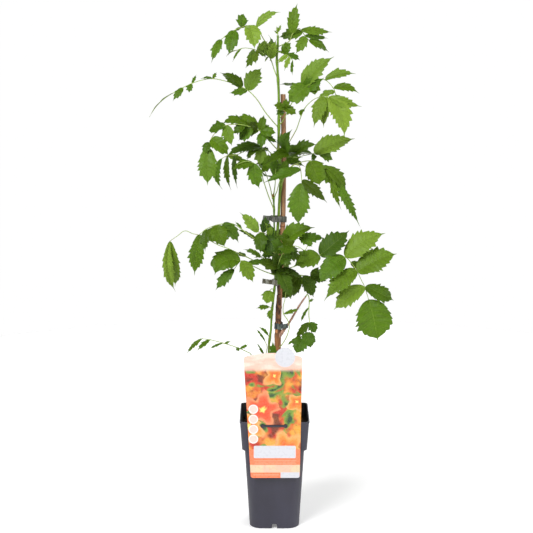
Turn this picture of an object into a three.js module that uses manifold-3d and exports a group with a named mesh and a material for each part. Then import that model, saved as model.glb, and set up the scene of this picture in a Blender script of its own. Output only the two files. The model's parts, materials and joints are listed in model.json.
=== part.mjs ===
// A young trumpet vine grown up a bamboo cane in a tall square nursery pot, with its hang label.
// Millimetres, +Z up, the front of the pot faces -Y. The origin is under the middle of the pot's foot.
import * as THREE from "three";
import { mergeVertices } from "three/addons/utils/BufferGeometryUtils.js";
import Module from "manifold-3d";

const wasm = await Module();
wasm.setup();

// ---- driving dimensions -------------------------------------------------------------------------
const POT_HEIGHT = 200;
const POT_TOP_HALF = 60; // half the width of the square rim
const POT_STEP_HALF = 56.6; // half width at the lower edge of the wider band
const POT_BODY_HALF = 52.2; // half width of the body just under the band
const POT_FOOT_HALF = 44;
const POT_BAND_HEIGHT = 52;
const POT_STEP_RISE = 2.5; // the wall leans out over this height between body and band
const POT_WALL = 1.5;
const POT_FLOOR = 9.5; // height of the floor's underside above the foot's edge
const POT_FLOOR_THICKNESS = 2;
const POT_FOOT_EDGE = 2.4; // width of the edge that the pot stands on
const POT_DRAFT = 0.6; // how far the inner walls lean out next to the floor
const POT_FOOT_CORNER = 22; // radius of the rounded corners at the foot
const POT_RIM_CORNER = 7; // and at the rim
const CORNER_POINTS = 6; // points on each rounded corner

const NOTCH_WIDTH = 8;
const NOTCH_HEIGHT = 8.5;
const DRAIN_RADIUS = 4;
const DRAIN_REACH = 27; // drain holes stand this far from the middle along X and Y

const SOIL_TOP = 176;
const SOIL_CROWN = 5; // how much higher the soil stands in the middle
const SOIL_SLOPE = [[0.7, 0.5], [0.35, 1]]; // shares of the half width and of the crown
const FIT_GAP = 0.35; // clearance between pieces that touch
const OVERCUT = 1; // how far a cutting solid runs past what it cuts

const LABEL_THICKNESS = 0.6;
const LABEL_BACK = -60.4; // the plane of the label's back
const LABEL_DISC_X = 17.7;
const LABEL_DISC_Z = 316;
const LABEL_DISC_RADIUS = 17;
const LABEL_DISC_POINTS = 14;
const LUG_X = -1;
const LUG_Z = 194;
const LUG_LENGTH = 46;
const LUG_BAR = 3;
const LUG_KNOB = 3.2;
const LUG_ROOT = -58.6;
const LUG_FRONT = -62.8;

const CANE_RADIUS = 4.3;
const STALK_RADIUS = 0.8;
const STALK_SIDES = 4;
const BLADE_THICKNESS = 1.1;
const BLADE_FOLD = 0.14; // how far the edges of a leaflet stand up, as a share of its half width
const BLADE_ARCH = 0.08; // how far a leaflet's middle stands proud of its chord, as a share of its length
const BLADE_ROOT = 1.2; // how deep the foot of a leaflet sits in its stalk
const CANE_SIDES = 8;
const TIE_HEIGHT = 10;
const TIE_THICKNESS = 0.8;
const TIE_CURVE_POINTS = 6;

// ---- solids -------------------------------------------------------------------------------------
function solid(geometry) {
  const bare = geometry.clone();
  bare.deleteAttribute("normal");
  bare.deleteAttribute("uv");
  const merged = mergeVertices(bare, 1e-4);
  return new wasm.Manifold(new wasm.Mesh({
    numProp: 3,
    vertProperties: new Float32Array(merged.attributes.position.array),
    triVerts: new Uint32Array(merged.index.array),
  }));
}

function joined(solids) {
  return solids.reduce((whole, next) => whole.add(next));
}

function geometryOf(body) {
  const mesh = body.getMesh();
  const geometry = new THREE.BufferGeometry();
  geometry.setAttribute("position", new THREE.BufferAttribute(mesh.vertProperties, 3));
  geometry.setIndex(new THREE.BufferAttribute(mesh.triVerts, 1));
  geometry.computeVertexNormals();
  return geometry;
}

// ---- where things stand -------------------------------------------------------------------------
// The plant is laid out on its front elevation. A place is [x, z, depth]: x and z are where the sight
// line from a standing eye meets the upright plane through the stem (y = 0), and depth moves the point
// along that line, away from the eye where it is positive.
const EYE = new THREE.Vector3(-14, -2200, 873);

function place([x, z, depth]) {
  const along = 1 + depth / -EYE.y;
  return new THREE.Vector3(x, 0, z).sub(EYE).multiplyScalar(along).add(EYE);
}

// A curve whose rings stand exactly on its given points.
class Route extends THREE.CatmullRomCurve3 {
  getPointAt(u, target) {
    return this.getPoint(u, target);
  }

  getTangentAt(u, target) {
    return this.getTangent(u, target);
  }
}

// A closed tube through the places, with a radius for each place.
function tube(places, radii, sides, grow = 0) {
  const points = places.map(place);
  const steps = points.length - 1;
  const section = new THREE.Shape();
  for (let side = 0; side < sides; side += 1) {
    const angle = (side / sides) * 2 * Math.PI;
    const corner = [Math.cos(angle), Math.sin(angle)];
    if (side === 0) section.moveTo(...corner);
    else section.lineTo(...corner);
  }
  const geometry = new THREE.ExtrudeGeometry(section, {
    steps,
    bevelEnabled: false,
    extrudePath: new Route(points),
  });
  const position = geometry.attributes.position;
  const vertex = new THREE.Vector3();
  for (let index = 0; index < position.count; index += 1) {
    vertex.fromBufferAttribute(position, index);
    const misses = points.map((point) => Math.abs(point.distanceTo(vertex) - 1));
    const ring = misses.indexOf(Math.min(...misses));
    vertex.sub(points[ring]).multiplyScalar(radii[ring] + grow).add(points[ring]);
    position.setXYZ(index, vertex.x, vertex.y, vertex.z);
  }
  return solid(geometry);
}

// ---- pot, soil and label ------------------------------------------------------------------------
// The pot's corners are tighter the higher they are.
function cornerRadius(height) {
  return POT_FOOT_CORNER + (POT_RIM_CORNER - POT_FOOT_CORNER) * (height / POT_HEIGHT);
}

// A turned profile of [half width, height] pairs, squared off with rounded corners.
function squareTurned(profile) {
  const count = 4 * CORNER_POINTS;
  const points = profile.map(([half, height]) => new THREE.Vector2(half, height));
  const geometry = new THREE.LatheGeometry(points, count);
  const position = geometry.attributes.position;
  for (let index = 0; index < position.count; index += 1) {
    const [half, height] = profile[index % profile.length];
    const turn = Math.floor(index / profile.length) % count;
    const corner = Math.floor(turn / CORNER_POINTS);
    const angle = ((turn % CORNER_POINTS) / (CORNER_POINTS - 1) + corner) * (Math.PI / 2);
    const middle = (corner + 0.5) * (Math.PI / 2);
    const radius = Math.min(cornerRadius(height), half);
    const reach = (half - radius) * Math.SQRT2;
    const across = reach * Math.cos(middle) + radius * Math.cos(angle);
    const away = reach * Math.sin(middle) + radius * Math.sin(angle);
    position.setXYZ(index, across, away, height);
  }
  return solid(geometry);
}

// A bar with a round knob at each end, lying along X.
function dogBone(length, bar, knob) {
  const shape = new THREE.Shape();
  const pinch = Math.asin(bar / 2 / knob);
  const reach = length / 2 - knob;
  shape.absarc(reach, 0, knob, pinch - Math.PI, Math.PI - pinch, false);
  shape.absarc(-reach, 0, knob, pinch, 2 * Math.PI - pinch, false);
  return shape;
}

// An upright sheet: a shape drawn in X and Z, thick from the plane y = back towards the front.
function upright(shape, back, thickness, curveSegments = 5) {
  const geometry = new THREE.ExtrudeGeometry(shape, {
    depth: thickness,
    bevelEnabled: false,
    curveSegments,
  });
  geometry.rotateX(Math.PI / 2);
  geometry.translate(0, back, 0);
  return solid(geometry);
}

function block(width, depth, height) {
  return solid(new THREE.BoxGeometry(width, depth, height));
}

function makePot() {
  const bandFoot = POT_HEIGHT - POT_BAND_HEIGHT;
  const footInside = POT_FOOT_HALF - POT_FOOT_EDGE;
  const floorTop = POT_FLOOR + POT_FLOOR_THICKNESS;
  const shell = squareTurned([
    [0, POT_FLOOR],
    [footInside + POT_DRAFT, POT_FLOOR],
    [footInside, 0],
    [POT_FOOT_HALF, 0],
    [POT_BODY_HALF, bandFoot - POT_STEP_RISE],
    [POT_STEP_HALF, bandFoot],
    [POT_TOP_HALF, POT_HEIGHT],
    [POT_TOP_HALF - POT_WALL, POT_HEIGHT],
    [POT_STEP_HALF - POT_WALL, bandFoot + POT_STEP_RISE],
    [POT_BODY_HALF - POT_WALL, bandFoot],
    [POT_FOOT_HALF - POT_WALL + POT_DRAFT, floorTop],
    [0, floorTop],
  ]);
  const notchSpan = 3 * POT_FOOT_HALF;
  const cuts = [
    block(NOTCH_WIDTH, notchSpan, 2 * NOTCH_HEIGHT),
    block(notchSpan, NOTCH_WIDTH, 2 * NOTCH_HEIGHT),
  ];
  for (const x of [-DRAIN_REACH, 0, DRAIN_REACH]) {
    for (const y of [-DRAIN_REACH, 0, DRAIN_REACH]) {
      const drill = new THREE.CylinderGeometry(DRAIN_RADIUS, DRAIN_RADIUS, 3 * POT_FLOOR_THICKNESS, 8);
      cuts.push(solid(drill.rotateX(Math.PI / 2).translate(x, y, POT_FLOOR + POT_FLOOR_THICKNESS / 2)));
    }
  }
  const lug = upright(dogBone(LUG_LENGTH, LUG_BAR, LUG_KNOB), LUG_ROOT, LUG_ROOT - LUG_FRONT);
  const pot = cuts.reduce((rest, cut) => rest.subtract(cut), shell);
  return pot.add(lug.translate([LUG_X, 0, LUG_Z]));
}

function makeSoil(holes) {
  const bandFoot = POT_HEIGHT - POT_BAND_HEIGHT;
  const inside = POT_WALL + FIT_GAP;
  const floor = POT_FLOOR + POT_FLOOR_THICKNESS + FIT_GAP;
  const lean = (POT_TOP_HALF - POT_STEP_HALF) / POT_BAND_HEIGHT;
  const topHalf = POT_STEP_HALF + lean * (SOIL_TOP - bandFoot);
  const body = squareTurned([
    [0, floor],
    [POT_FOOT_HALF - inside + POT_DRAFT, floor],
    [POT_BODY_HALF - inside, bandFoot],
    [POT_STEP_HALF - inside, bandFoot + POT_STEP_RISE + FIT_GAP],
    [topHalf - inside, SOIL_TOP - OVERCUT],
    ...SOIL_SLOPE.map(([across, rise]) => [topHalf * across, SOIL_TOP + SOIL_CROWN * rise]),
    [0, SOIL_TOP + SOIL_CROWN],
  ]);
  return holes.reduce((soil, hole) => soil.subtract(hole), body);
}

function makeLabel() {
  const outline = new THREE.Shape();
  outline.moveTo(-37, 100);
  outline.lineTo(40, 100);
  outline.quadraticCurveTo(43.6, 100, 43.9, 105);
  outline.lineTo(46, 205);
  outline.lineTo(47.1, 310);
  outline.quadraticCurveTo(47, 315, 42, 316.5);
  outline.quadraticCurveTo(0, 332, -49, 315);
  outline.quadraticCurveTo(-52.6, 314, -53, 309);
  outline.lineTo(-49.5, 235);
  outline.lineTo(-41.6, 105);
  outline.quadraticCurveTo(-41, 100, -37, 100);
  const disc = new THREE.Shape();
  disc.absarc(LABEL_DISC_X, LABEL_DISC_Z, LABEL_DISC_RADIUS, 0, 2 * Math.PI, false);
  const slot = dogBone(LUG_LENGTH + 2 * FIT_GAP, LUG_BAR + 2 * FIT_GAP, LUG_KNOB + FIT_GAP);
  const punch = upright(slot, LABEL_BACK + OVERCUT, LABEL_THICKNESS + 2 * OVERCUT);
  const sheet = upright(outline, LABEL_BACK, LABEL_THICKNESS);
  const whole = sheet.add(upright(disc, LABEL_BACK, LABEL_THICKNESS, LABEL_DISC_POINTS));
  return whole.subtract(punch.translate([LUG_X, 0, LUG_Z]));
}

// ---- stems and cane -----------------------------------------------------------------------------
const CANE = [
  [5, 30, 9], [6, 172, 9], [7, 318, 9], [8.5, 400, 8], [11.5, 475, 7],
  [14.5, 555, 6], [15.5, 650, 6], [15, 700, 6], [14, 759, 6],
];
const STEMS = {
  woody: {
    route: [
      [4, 120, -2], [5, 250, -2], [5, 318, -2], [5.5, 340, -2], [6, 365, -1.5], [7, 392, -2],
      [7.5, 412, -2],
    ],
    radii: [4.5, 4.8, 5.4, 5.4, 4.9, 4.2, 3.6],
    sides: 7,
  },
  main: {
    route: [
      [7.5, 413, -2], [6, 440, -3], [5, 480, -3], [5, 520, -2], [7, 552, -2], [9, 590, -2], [11, 612, -3],
      [9.5, 640, -3], [6.5, 662, -2], [7, 700, -2], [7, 740, -2], [6.5, 765, -2], [4.5, 800, -2],
      [3.5, 820, -2], [5, 845, -3], [5, 857, -3],
    ],
    radii: [2.6, 2.6, 2.6, 2.5, 2.5, 2.4, 2.4, 2.4, 2.3, 2.3, 2.2, 2.1, 2, 1.9, 1.7, 1.4],
    sides: 6,
  },
  front: {
    route: [
      [-8, 150, -12], [-10, 300, -12], [-8, 336, -11], [-6, 352, -10], [-5, 380, -9], [-2.5, 400, -9],
      [0, 425, -9], [1.5, 445, -9], [1.5, 482, -9], [1.5, 505, -8], [0, 520, -7], [-1, 545, -6],
      [-1, 562, -6], [-2, 586, -5],
    ],
    radii: [2, 2, 2, 1.9, 1.9, 1.8, 1.8, 1.7, 1.6, 1.6, 1.5, 1.5, 1.4, 1.3],
    sides: 6,
  },
};
const TWIG = [[6, 336, -2], [13, 346, -3], [18, 352, -3], [26, 363, -3], [42, 391, -4], [54, 409, -5]];
const TWIG_RADII = [4.2, 3.6, 2.6, 1.9, 1.7, 1.4];
const TWIG_SIDES = 6;

function stemSolid({ route, radii, sides }, grow = 0) {
  return tube(route, radii, sides, grow);
}

// ---- ties ---------------------------------------------------------------------------------------
// The outline, seen from above, that runs round two points at a radius.
function roundTwo([ax, ay], [bx, by], radius) {
  const heading = Math.atan2(by - ay, bx - ax);
  const path = new THREE.Shape();
  path.absarc(bx, by, radius, heading - Math.PI / 2, heading + Math.PI / 2, false);
  path.absarc(ax, ay, radius, heading + Math.PI / 2, heading + 1.5 * Math.PI, false);
  return path;
}

function standing(shape, height, z) {
  const geometry = new THREE.ExtrudeGeometry(shape, {
    depth: height,
    bevelEnabled: false,
    curveSegments: TIE_CURVE_POINTS,
  });
  return solid(geometry.translate(0, 0, z));
}

// A flat tail of tape through points seen from above.
function tail(points, height, z) {
  const strips = points.slice(1).map((end, index) => {
    const start = points[index];
    return standing(roundTwo(start, end, TIE_THICKNESS / 2), height, z);
  });
  return joined(strips);
}

const TIES = [
  {
    name: "tie_1",
    from: [-1, -6],
    to: [14.4, 6],
    inner: 4.8,
    z: 541,
    ends: [[-4, -9], [-12, -14], [-20, -13]],
  },
  {
    name: "tie_2",
    from: [10, -3],
    to: [15.4, 6],
    inner: 4.8,
    z: 630,
    ends: [[7, -7], [3, -11]],
  },
  {
    name: "tie_3",
    from: [0.9, -9],
    to: [10, 7.4],
    inner: 4.8,
    z: 431,
    ends: [[-2, -12], [-10, -15], [-21, -13]],
  },
  {
    name: "tie_4",
    from: [6, -1.6],
    to: [7.8, 8.6],
    inner: 5.6,
    z: 352,
    ends: [[9, -7.3], [17, -11], [23, -8.5]],
  },
];

function makeTie({ from, to, inner, z, ends }) {
  const band = standing(roundTwo(from, to, inner + TIE_THICKNESS), TIE_HEIGHT, z);
  const hollow = standing(roundTwo(from, to, inner), TIE_HEIGHT + 2 * OVERCUT, z - OVERCUT);
  return band.add(tail(ends, TIE_HEIGHT, z)).subtract(hollow);
}

// ---- leaves -------------------------------------------------------------------------------------
// Half widths of a leaflet along its length, as shares of the whole.
const BLADE_STATIONS = [[0, 0], [0.13, 0.7], [0.38, 1], [0.75, 0.56], [1, 0]];
const FACING = new THREE.Vector3(0, -0.75, 0.66); // the way that an unturned leaflet faces

// One leaflet: a sphere of few facets, drawn out from foot to tip and pressed flat. The bow is how far
// its middle lies to the left of the line from foot to tip, as a share of its length.
function blade(foot, tip, width, turn, bow) {
  const axis = tip.clone().sub(foot);
  const length = axis.length();
  axis.normalize();
  const up = FACING.clone().addScaledVector(axis, -FACING.dot(axis)).normalize();
  up.applyAxisAngle(axis, THREE.MathUtils.degToRad(turn));
  const root = foot.clone().addScaledVector(axis, -BLADE_ROOT);
  const crest = foot.clone().lerp(tip, 0.5).addScaledVector(up, 2 * BLADE_ARCH * length);
  crest.addScaledVector(up.clone().cross(axis), 2 * bow * length);
  const spine = new THREE.QuadraticBezierCurve3(root, crest, tip);
  const rings = BLADE_STATIONS.length - 1;
  const geometry = new THREE.SphereGeometry(1, 4, rings);
  const position = geometry.attributes.position;
  for (let index = 0; index < position.count; index += 1) {
    const polar = Math.acos(THREE.MathUtils.clamp(position.getY(index), -1, 1));
    const [along, share] = BLADE_STATIONS[Math.round((polar / Math.PI) * rings)];
    const point = spine.getPoint(along);
    if (share > 0) {
      const across = position.getX(index) / Math.sin(polar);
      const lift = position.getZ(index) / Math.sin(polar);
      const half = (share * width) / 2;
      const side = up.clone().cross(spine.getTangent(along)).normalize();
      point.addScaledVector(side, across * half);
      point.addScaledVector(up, (lift * BLADE_THICKNESS) / 2 + Math.abs(across) * half * BLADE_FOLD);
    }
    position.setXYZ(index, point.x, point.y, point.z);
  }
  return solid(geometry);
}

// Each leaf: the stem that it grows from, the places of its stalk from the stem outwards, and its
// leaflets as [where on the stalk, counted in places, the place of the tip, width, turn in degrees, bow].
const LEAVES = {
  leaf_crown_left: {
    stem: "main",
    stalk: [
      [3.8, 833, -2], [-5, 838, -5], [-17, 848, -9], [-31, 870, -14], [-45, 873, -19], [-62, 868, -25],
      [-80, 858, -31], [-90, 850, -34],
    ],
    leaflets: [
      [3, [10, 895, -20], 16, 10, 0.13],
      [3.8, [-34, 834, -40], 29, -10],
      [4.5, [-52, 893, -20], 18, 20, 0.12],
      [4.2, [-78, 856, -8], 14, 60],
      [5.3, [-78, 824, -44], 24, 0],
      [7, [-107, 811, -50], 15, 0],
    ],
  },
  leaf_crown_right: {
    stem: "main",
    stalk: [
      [4.5, 838, -3], [14, 842, 3], [25, 848, 9], [30, 860, 13], [41, 868, 18], [50, 857, 23],
      [57, 849, 26],
    ],
    leaflets: [
      [3, [38, 910, 16], 20, 10, 0.06],
      [4.6, [5, 853, 18], 19, -20],
      [4.3, [97, 862, 28], 14, 40],
      [5, [90, 852, 40], 10, 50],
      [5.2, [35, 826, 16], 18, -10, 0.03],
      [6, [91, 829, 38], 18, 0],
    ],
  },
  leaf_upper_left: {
    stem: "main",
    stalk: [
      [5.7, 783, -2], [-1, 800, 4], [-6, 815, 9], [-12, 823, 12], [-30, 832, 20], [-50, 836, 28],
      [-65, 832, 34],
    ],
    leaflets: [
      [3, [-7, 851, -6], 16, 20],
      [4, [-12, 848, 26], 12, 40],
      [4, [-13, 825, 34], 16, 20],
      [4.3, [-50, 802, 26], 14, 0, 0.1],
      [4, [-32, 809, 12], 14, 40],
      [5.4, [-71, 813, 36], 7, 30],
      [6, [-82, 822, 42], 8, 50],
      [2.6, [-11, 858, 40], 11, 30, -0.12],
      [2.4, [3, 851, -14], 17, 30],
      [2.2, [5, 830, -10], 15, 10, -0.05],
      [2.8, [-17, 813, 16], 5, 20],
    ],
  },
  leaf_upper_right: {
    stem: "main",
    stalk: [[3.9, 812, -2], [10, 820, -10], [18, 825, -18], [25, 821, -24], [30, 815, -28]],
    leaflets: [
      [2, [-1, 828, -24], 9, 30, -0.1],
      [1.8, [28, 845, -22], 17, 10, 0.12],
      [2.2, [43, 815, -18], 10, 30, 0.08],
      [2.5, [5, 810, -26], 9, 0],
      [3, [16, 798, -32], 8, 0],
      [4, [30, 790, -36], 6, 40],
    ],
  },
  shoot_tip: {
    stem: "main",
    stalk: [[5, 857.8, -3], [5, 864, -3]],
    leaflets: [
      [0.4, [3, 873, -6], 3, 0],
      [0.6, [11, 876, -2], 3.4, 20],
      [0.2, [-2, 865, -6], 3, 0],
      [1, [6, 871, 2], 2.8, 60],
      [0.8, [8, 871, -2], 2.8, 30],
    ],
  },
  leaf_whip_left: {
    stem: "main",
    stalk: [
      [7, 702, -2], [-4, 714, 4], [-17, 730, 10], [-30, 750, 16], [-45, 765, 22], [-62, 773, 28],
      [-80, 780, 31], [-105, 785, 32], [-125, 782, 30], [-140, 777, 28], [-155, 770, 25],
      [-172, 761, 21],
    ],
    leaflets: [
      [4, [-22, 803, 30], 29, 0, 0.04],
      [4.6, [-92, 795, 44], 24, 10],
      [4.1, [-77, 761, 20], 19, 10, 0.1],
      [7, [-98, 796, 37], 5, 20],
      [7, [-125, 785, 30], 8, 20],
      [9, [-132, 792, 34], 5, 20],
      [9.1, [-145, 761, 22], 11, 10],
      [10, [-173, 747, 17], 13, 0],
      [11, [-213, 720, 10], 13, 60],
    ],
  },
  leaf_right_upper: {
    stem: "main",
    stalk: [
      [7, 706, -2], [13, 713, -9], [20, 726, -14], [31, 748, -20], [43, 768, -25], [56, 775, -30],
      [70, 780, -35], [85, 783, -40], [99, 769, -46], [103, 758, -48],
    ],
    leaflets: [
      [4, [8, 775, -20], 14, 30, -0.12],
      [4.3, [100, 822, -34], 34, 0, 0.03],
      [4.9, [22, 746, -36], 36, -5, 0.06],
      [6, [68, 757, -46], 22, 30],
      [7, [137, 793, -42], 18, 0, 0.05],
      [8, [143, 760, -50], 15, 10, 0.1],
      [8.4, [72, 752, -54], 18, 20],
      [9, [113, 742, -56], 9, 30],
      [4.3, [84, 787, -46], 24, 30, -0.08],
    ],
  },
  leaf_front_upper: {
    stem: "main",
    stalk: [[7, 716, -2], [10, 720, -14], [15, 727, -26], [18, 735, -38]],
    leaflets: [
      [3, [-3, 741, -44], 14, -10],
      [2.3, [2, 724, -40], 12, 0],
      [3, [37, 725, -46], 15, 10],
      [3, [20, 753, -50], 13, 10],
    ],
  },
  leaf_right_drooping: {
    stem: "main",
    stalk: [
      [8, 652, -3], [13, 656, -0.5], [19, 666, 0], [26, 680, -2], [37, 700, -18], [44, 720, -38],
      [52, 737, -54], [66, 750, -64], [80, 755, -72], [92, 755, -76],
    ],
    leaflets: [
      [5.8, [43, 721, -66], 9, 30],
      [8.3, [66, 702, -84], 25, 10],
      [8.7, [83, 702, -74], 20, 20],
      [9, [118, 685, -92], 34, 0, 0.1],
      [9, [148, 738, -78], 18, 20, -0.06],
    ],
  },
  leaf_right_middle: {
    stem: "main",
    stalk: [
      [7.4, 657, -3], [16, 656, -5], [24, 654, -2], [36, 652, 8], [50, 655, 18], [64, 658, 24],
      [80, 662, 28],
    ],
    leaflets: [
      [5, [-27, 632, -60], 27, 0, -0.07],
      [5.2, [137, 684, 40], 36, 0],
      [2.2, [75, 673, -20], 23, 0, 0.11],
      [2, [30, 700, -58], 30, 30, 0.08],
      [5, [68, 646, 32], 9, 10],
      [5.6, [100, 647, 36], 20, 0],
    ],
  },
  leaf_right_long: {
    stem: "main",
    stalk: [
      [11, 614, -3], [20, 626, -8], [35, 640, -8], [60, 646, -4], [82, 638, 0], [97, 624, 3],
      [104, 611, 5],
    ],
    leaflets: [
      [3, [77, 603, -8], 38, 0, 0.02],
      [5, [115, 561, 2], 12, 10, -0.05],
      [5.4, [148, 530, 10], 16, 10],
      [4, [98, 604, 4], 24, 0],
      [4.2, [123, 588, 8], 24, 0, 0.06],
    ],
  },
  leaf_right_hanging: {
    stem: "main",
    stalk: [
      [10, 602, -3], [18, 620, -14], [28, 636, -22], [38, 640, -28], [44, 632, -34], [47, 608, -40],
    ],
    leaflets: [
      [4, [-20, 608, -46], 22, 10, 0.06],
      [4.8, [91, 573, -48], 20, 10],
      [5, [41, 533, -46], 36, 0, -0.03],
    ],
  },
  leaf_left_upper: {
    stem: "main",
    stalk: [
      [6.8, 663, -3], [-3, 673, -8], [-12, 684, -12], [-25, 697, -18], [-45, 705, -26], [-65, 708, -32],
      [-83, 706, -38], [-98, 697, -42], [-108, 684, -45], [-114, 668, -47],
    ],
    leaflets: [
      [3, [-18, 725, -14], 15, 10],
      [3, [3, 693, -24], 20, 10],
      [3.3, [-65, 721, -20], 20, 10, -0.16],
      [2.8, [-23, 666, -28], 17, 0],
      [3.6, [-61, 681, -14], 27, 0],
      [6, [-113, 697, -26], 26, 10, 0.05],
      [6, [-73, 671, -48], 20, 10],
      [8, [-78, 655, -54], 25, 10],
      [9, [-115, 603, -56], 31, 0],
      [3.2, [-44, 710, -28], 18, 10],
      [4, [-91, 708, -30], 21, 10, -0.2],
      [4.3, [-71, 692, -30], 14, 0, 0.05],
      [2.4, [6, 676, -14], 8, 30],
      [8.4, [-116, 658, -54], 17, 20, -0.08],
      [4.4, [-70, 692, -24], 17, 10],
      [1.6, [-18, 699, -18], 13, 20],
      [3.1, [-62, 680, -16], 16, 10, -0.06],
    ],
  },
  leaf_left_inner: {
    stem: "main",
    stalk: [
      [8.6, 647, -3], [-2, 655, 4], [-12, 664, 10], [-22, 668, 16], [-37, 668, 24], [-52, 662, 30],
      [-66, 656, 36], [-80, 655, 42], [-90, 650, 46],
    ],
    leaflets: [
      [2.9, [-9, 664, 16], 6, 30],
      [3, [-25, 639, 22], 21, 0],
      [4, [-47, 647, 20], 9, 0],
      [7, [-51, 645, 52], 12, 20],
      [7, [-74, 594, 42], 10, 10, -0.07],
      [6.2, [-64, 598, 30], 10, 30],
      [8, [-89, 596, 56], 13, 20, -0.16],
      [4, [-50, 660, 26], 6, 20],
      [2.8, [-85, 650, 14], 22, 10, -0.14],
      [2.9, [-49, 649, 4], 8, 20],
      [2.4, [-51, 662, 8], 7, 20],
    ],
  },
  leaf_left_arching: {
    stem: "front",
    stalk: [
      [-1, 562, -6], [-10, 584, -16], [-18, 608, -28], [-25, 630, -38], [-36, 642, -46],
      [-50, 645, -54], [-64, 640, -60],
    ],
    leaflets: [
      [4, [-26, 598, -52], 25, 10, -0.04],
      [4, [-74, 630, -64], 19, 0, -0.04],
    ],
  },
  leaf_front_top: {
    stem: "front",
    stalk: [[-2, 586.8, -5], [0, 599, -8], [1, 610, -13], [1, 621, -19], [2, 632, -25]],
    leaflets: [[2.6, [-8, 662, -20], 15, 10]],
  },
  leaf_front_top_left: {
    stem: "front",
    stalk: [
      [-3.4, 581, -5.6], [-5.2, 588, -8], [-7, 598, -11], [-10, 609, -15], [-14, 621, -20],
      [-19, 633, -24],
    ],
    leaflets: [
      [4, [-18, 620, -32], 26, 0, 0.04],
      [5, [-26, 635, -34], 22, 10],
      [4.6, [-10, 661, -34], 14, 20],
    ],
  },
  leaf_front_top_right: {
    stem: "front",
    stalk: [
      [-1, 580, -5], [1.2, 588, -8], [4, 594, -10], [7, 606, -14], [10, 616, -18], [14, 628, -22],
    ],
    leaflets: [[4, [21, 651, -30], 18, 10]],
  },
  leaf_left_sweeping: {
    stem: "front",
    stalk: [
      [1.5, 485, -9], [-15, 497, -22], [-35, 511, -34], [-57, 528, -44], [-75, 538, -50],
      [-100, 535, -56], [-118, 528, -60], [-129, 519, -62],
    ],
    leaflets: [
      [3, [-68, 541, -36], 6, 30],
      [4.6, [-62, 504, -58], 23, 0, 0.05],
      [5, [-86, 497, -68], 31, 0, -0.05],
      [6, [-120, 488, -72], 15, 20],
      [7, [-139, 446, -64], 25, -15, -0.03],
      [1.6, [-68, 529, -24], 9, 20],
    ],
  },
  leaf_left_far: {
    stem: "main",
    stalk: [
      [5.7, 453, -3], [-8, 458, 8], [-22, 466, 16], [-50, 480, 26], [-80, 494, 34], [-97, 500, 38],
      [-126, 516, 42], [-141, 520, 44], [-155, 525, 45], [-168, 516, 46], [-181, 507, 47],
    ],
    leaflets: [
      [3, [-69, 486, 36], 12, 25],
      [6, [-84, 514, 52], 30, 0],
      [10, [-172, 418, 46], 20, -25, -0.15],
      [10, [-173, 426, 70], 22, 20, 0.06],
    ],
  },
  leaf_left_low: {
    stem: "front",
    stalk: [
      [1.5, 447, -9], [-18, 454, -22], [-35, 462, -32], [-50, 470, -40], [-59, 472, -44],
      [-70, 458, -49],
    ],
    leaflets: [
      [2.8, [-12, 474, -30], 10, 40],
      [3.8, [-37, 434, -48], 24, 0],
      [5, [-103, 420, -50], 19, 0],
      [4, [-104, 447, -64], 43, 0, -0.24],
    ],
  },
  leaf_left_small: {
    stem: "main",
    stalk: [[5.3, 463, -3], [-6, 469, 10], [-16, 475, 20], [-24, 480, 28]],
    leaflets: [
      [2.6, [-36, 478, 22], 5, 30],
      [3, [-54, 493, 40], 10, 10],
    ],
  },
  leaf_center_left: {
    stem: "front",
    stalk: [[1.2, 509, -8], [-8, 515, -18], [-18, 521, -26], [-28, 523, -30]],
    leaflets: [
      [1, [-18, 541, -29], 14, 20],
      [1.5, [-6, 480, -41], 25, 0],
      [2.2, [-15, 552, -21], 15, 20],
      [2.6, [-24, 485, -48], 24, 10],
      [3, [-60, 557, -33], 22, 0],
    ],
  },
  leaf_front_center: {
    stem: "main",
    stalk: [
      [5.9, 449, -3], [6, 455, -16], [6, 463, -32], [9, 474, -48], [15, 488, -62], [22, 500, -74],
    ],
    leaflets: [
      [2, [-27, 468, -44], 24, 0],
      [2.5, [-5, 486, -50], 18, 0],
      [4, [-8, 508, -78], 24, 0],
      [4.4, [36, 508, -78], 22, 10],
      [5, [16, 484, -96], 26, 0],
      [1, [28, 450, -44], 16, 0],
      [1.5, [-6, 450, -24], 22, 0],
      [3, [33, 478, -60], 24, 0],
      [1.2, [-5, 481, -30], 24, 0],
      [2, [17, 475, -48], 18, 0],
      [1, [-32, 474, -34], 20, 10, -0.06],
      [1.2, [53, 437, -48], 12, 10, 0.08],
      [1.6, [29, 404, -36], 25, 0, 0.02],
      [1, [15, 489, -16], 14, 0],
    ],
  },
  leaf_right_dome: {
    stem: "main",
    stalk: [[5, 497, -3], [14, 503, -7], [24, 508, -10], [35, 511, -12], [46, 512, -14]],
    leaflets: [
      [1, [70, 531, -22], 35, 0, 0.07],
      [2.6, [0, 514, -24], 18, 10],
      [3.6, [88, 512, -12], 18, 15],
      [4, [57, 500, -22], 12, 0],
    ],
  },
  leaf_right_thin: {
    stem: "main",
    stalk: [
      [6, 445, -3], [12, 452, -12], [17, 462, -22], [22, 480, -32], [30, 497, -38], [41, 497, -38],
      [52, 491, -38], [57, 499, -38],
    ],
    leaflets: [
      [4, [12, 489, -44], 20, 10],
      [4, [36, 475, -42], 14, 10],
      [6, [48, 479, -42], 8, 20],
      [7, [66, 508, -40], 9, 30],
    ],
  },
  leaf_right_big: {
    stem: "main",
    stalk: [
      [5.6, 455, -3], [20, 458, -8], [38, 464, -14], [60, 474, -20], [78, 482, -26], [100, 481, -30],
      [122, 479, -34], [132, 470, -36], [142, 456, -38], [150, 440, -40], [157, 426, -41],
      [161, 413, -42], [164, 404, -42],
    ],
    leaflets: [
      [4, [129, 526, -16], 40, 0, -0.04],
      [4, [33, 463, -42], 36, 0],
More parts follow.
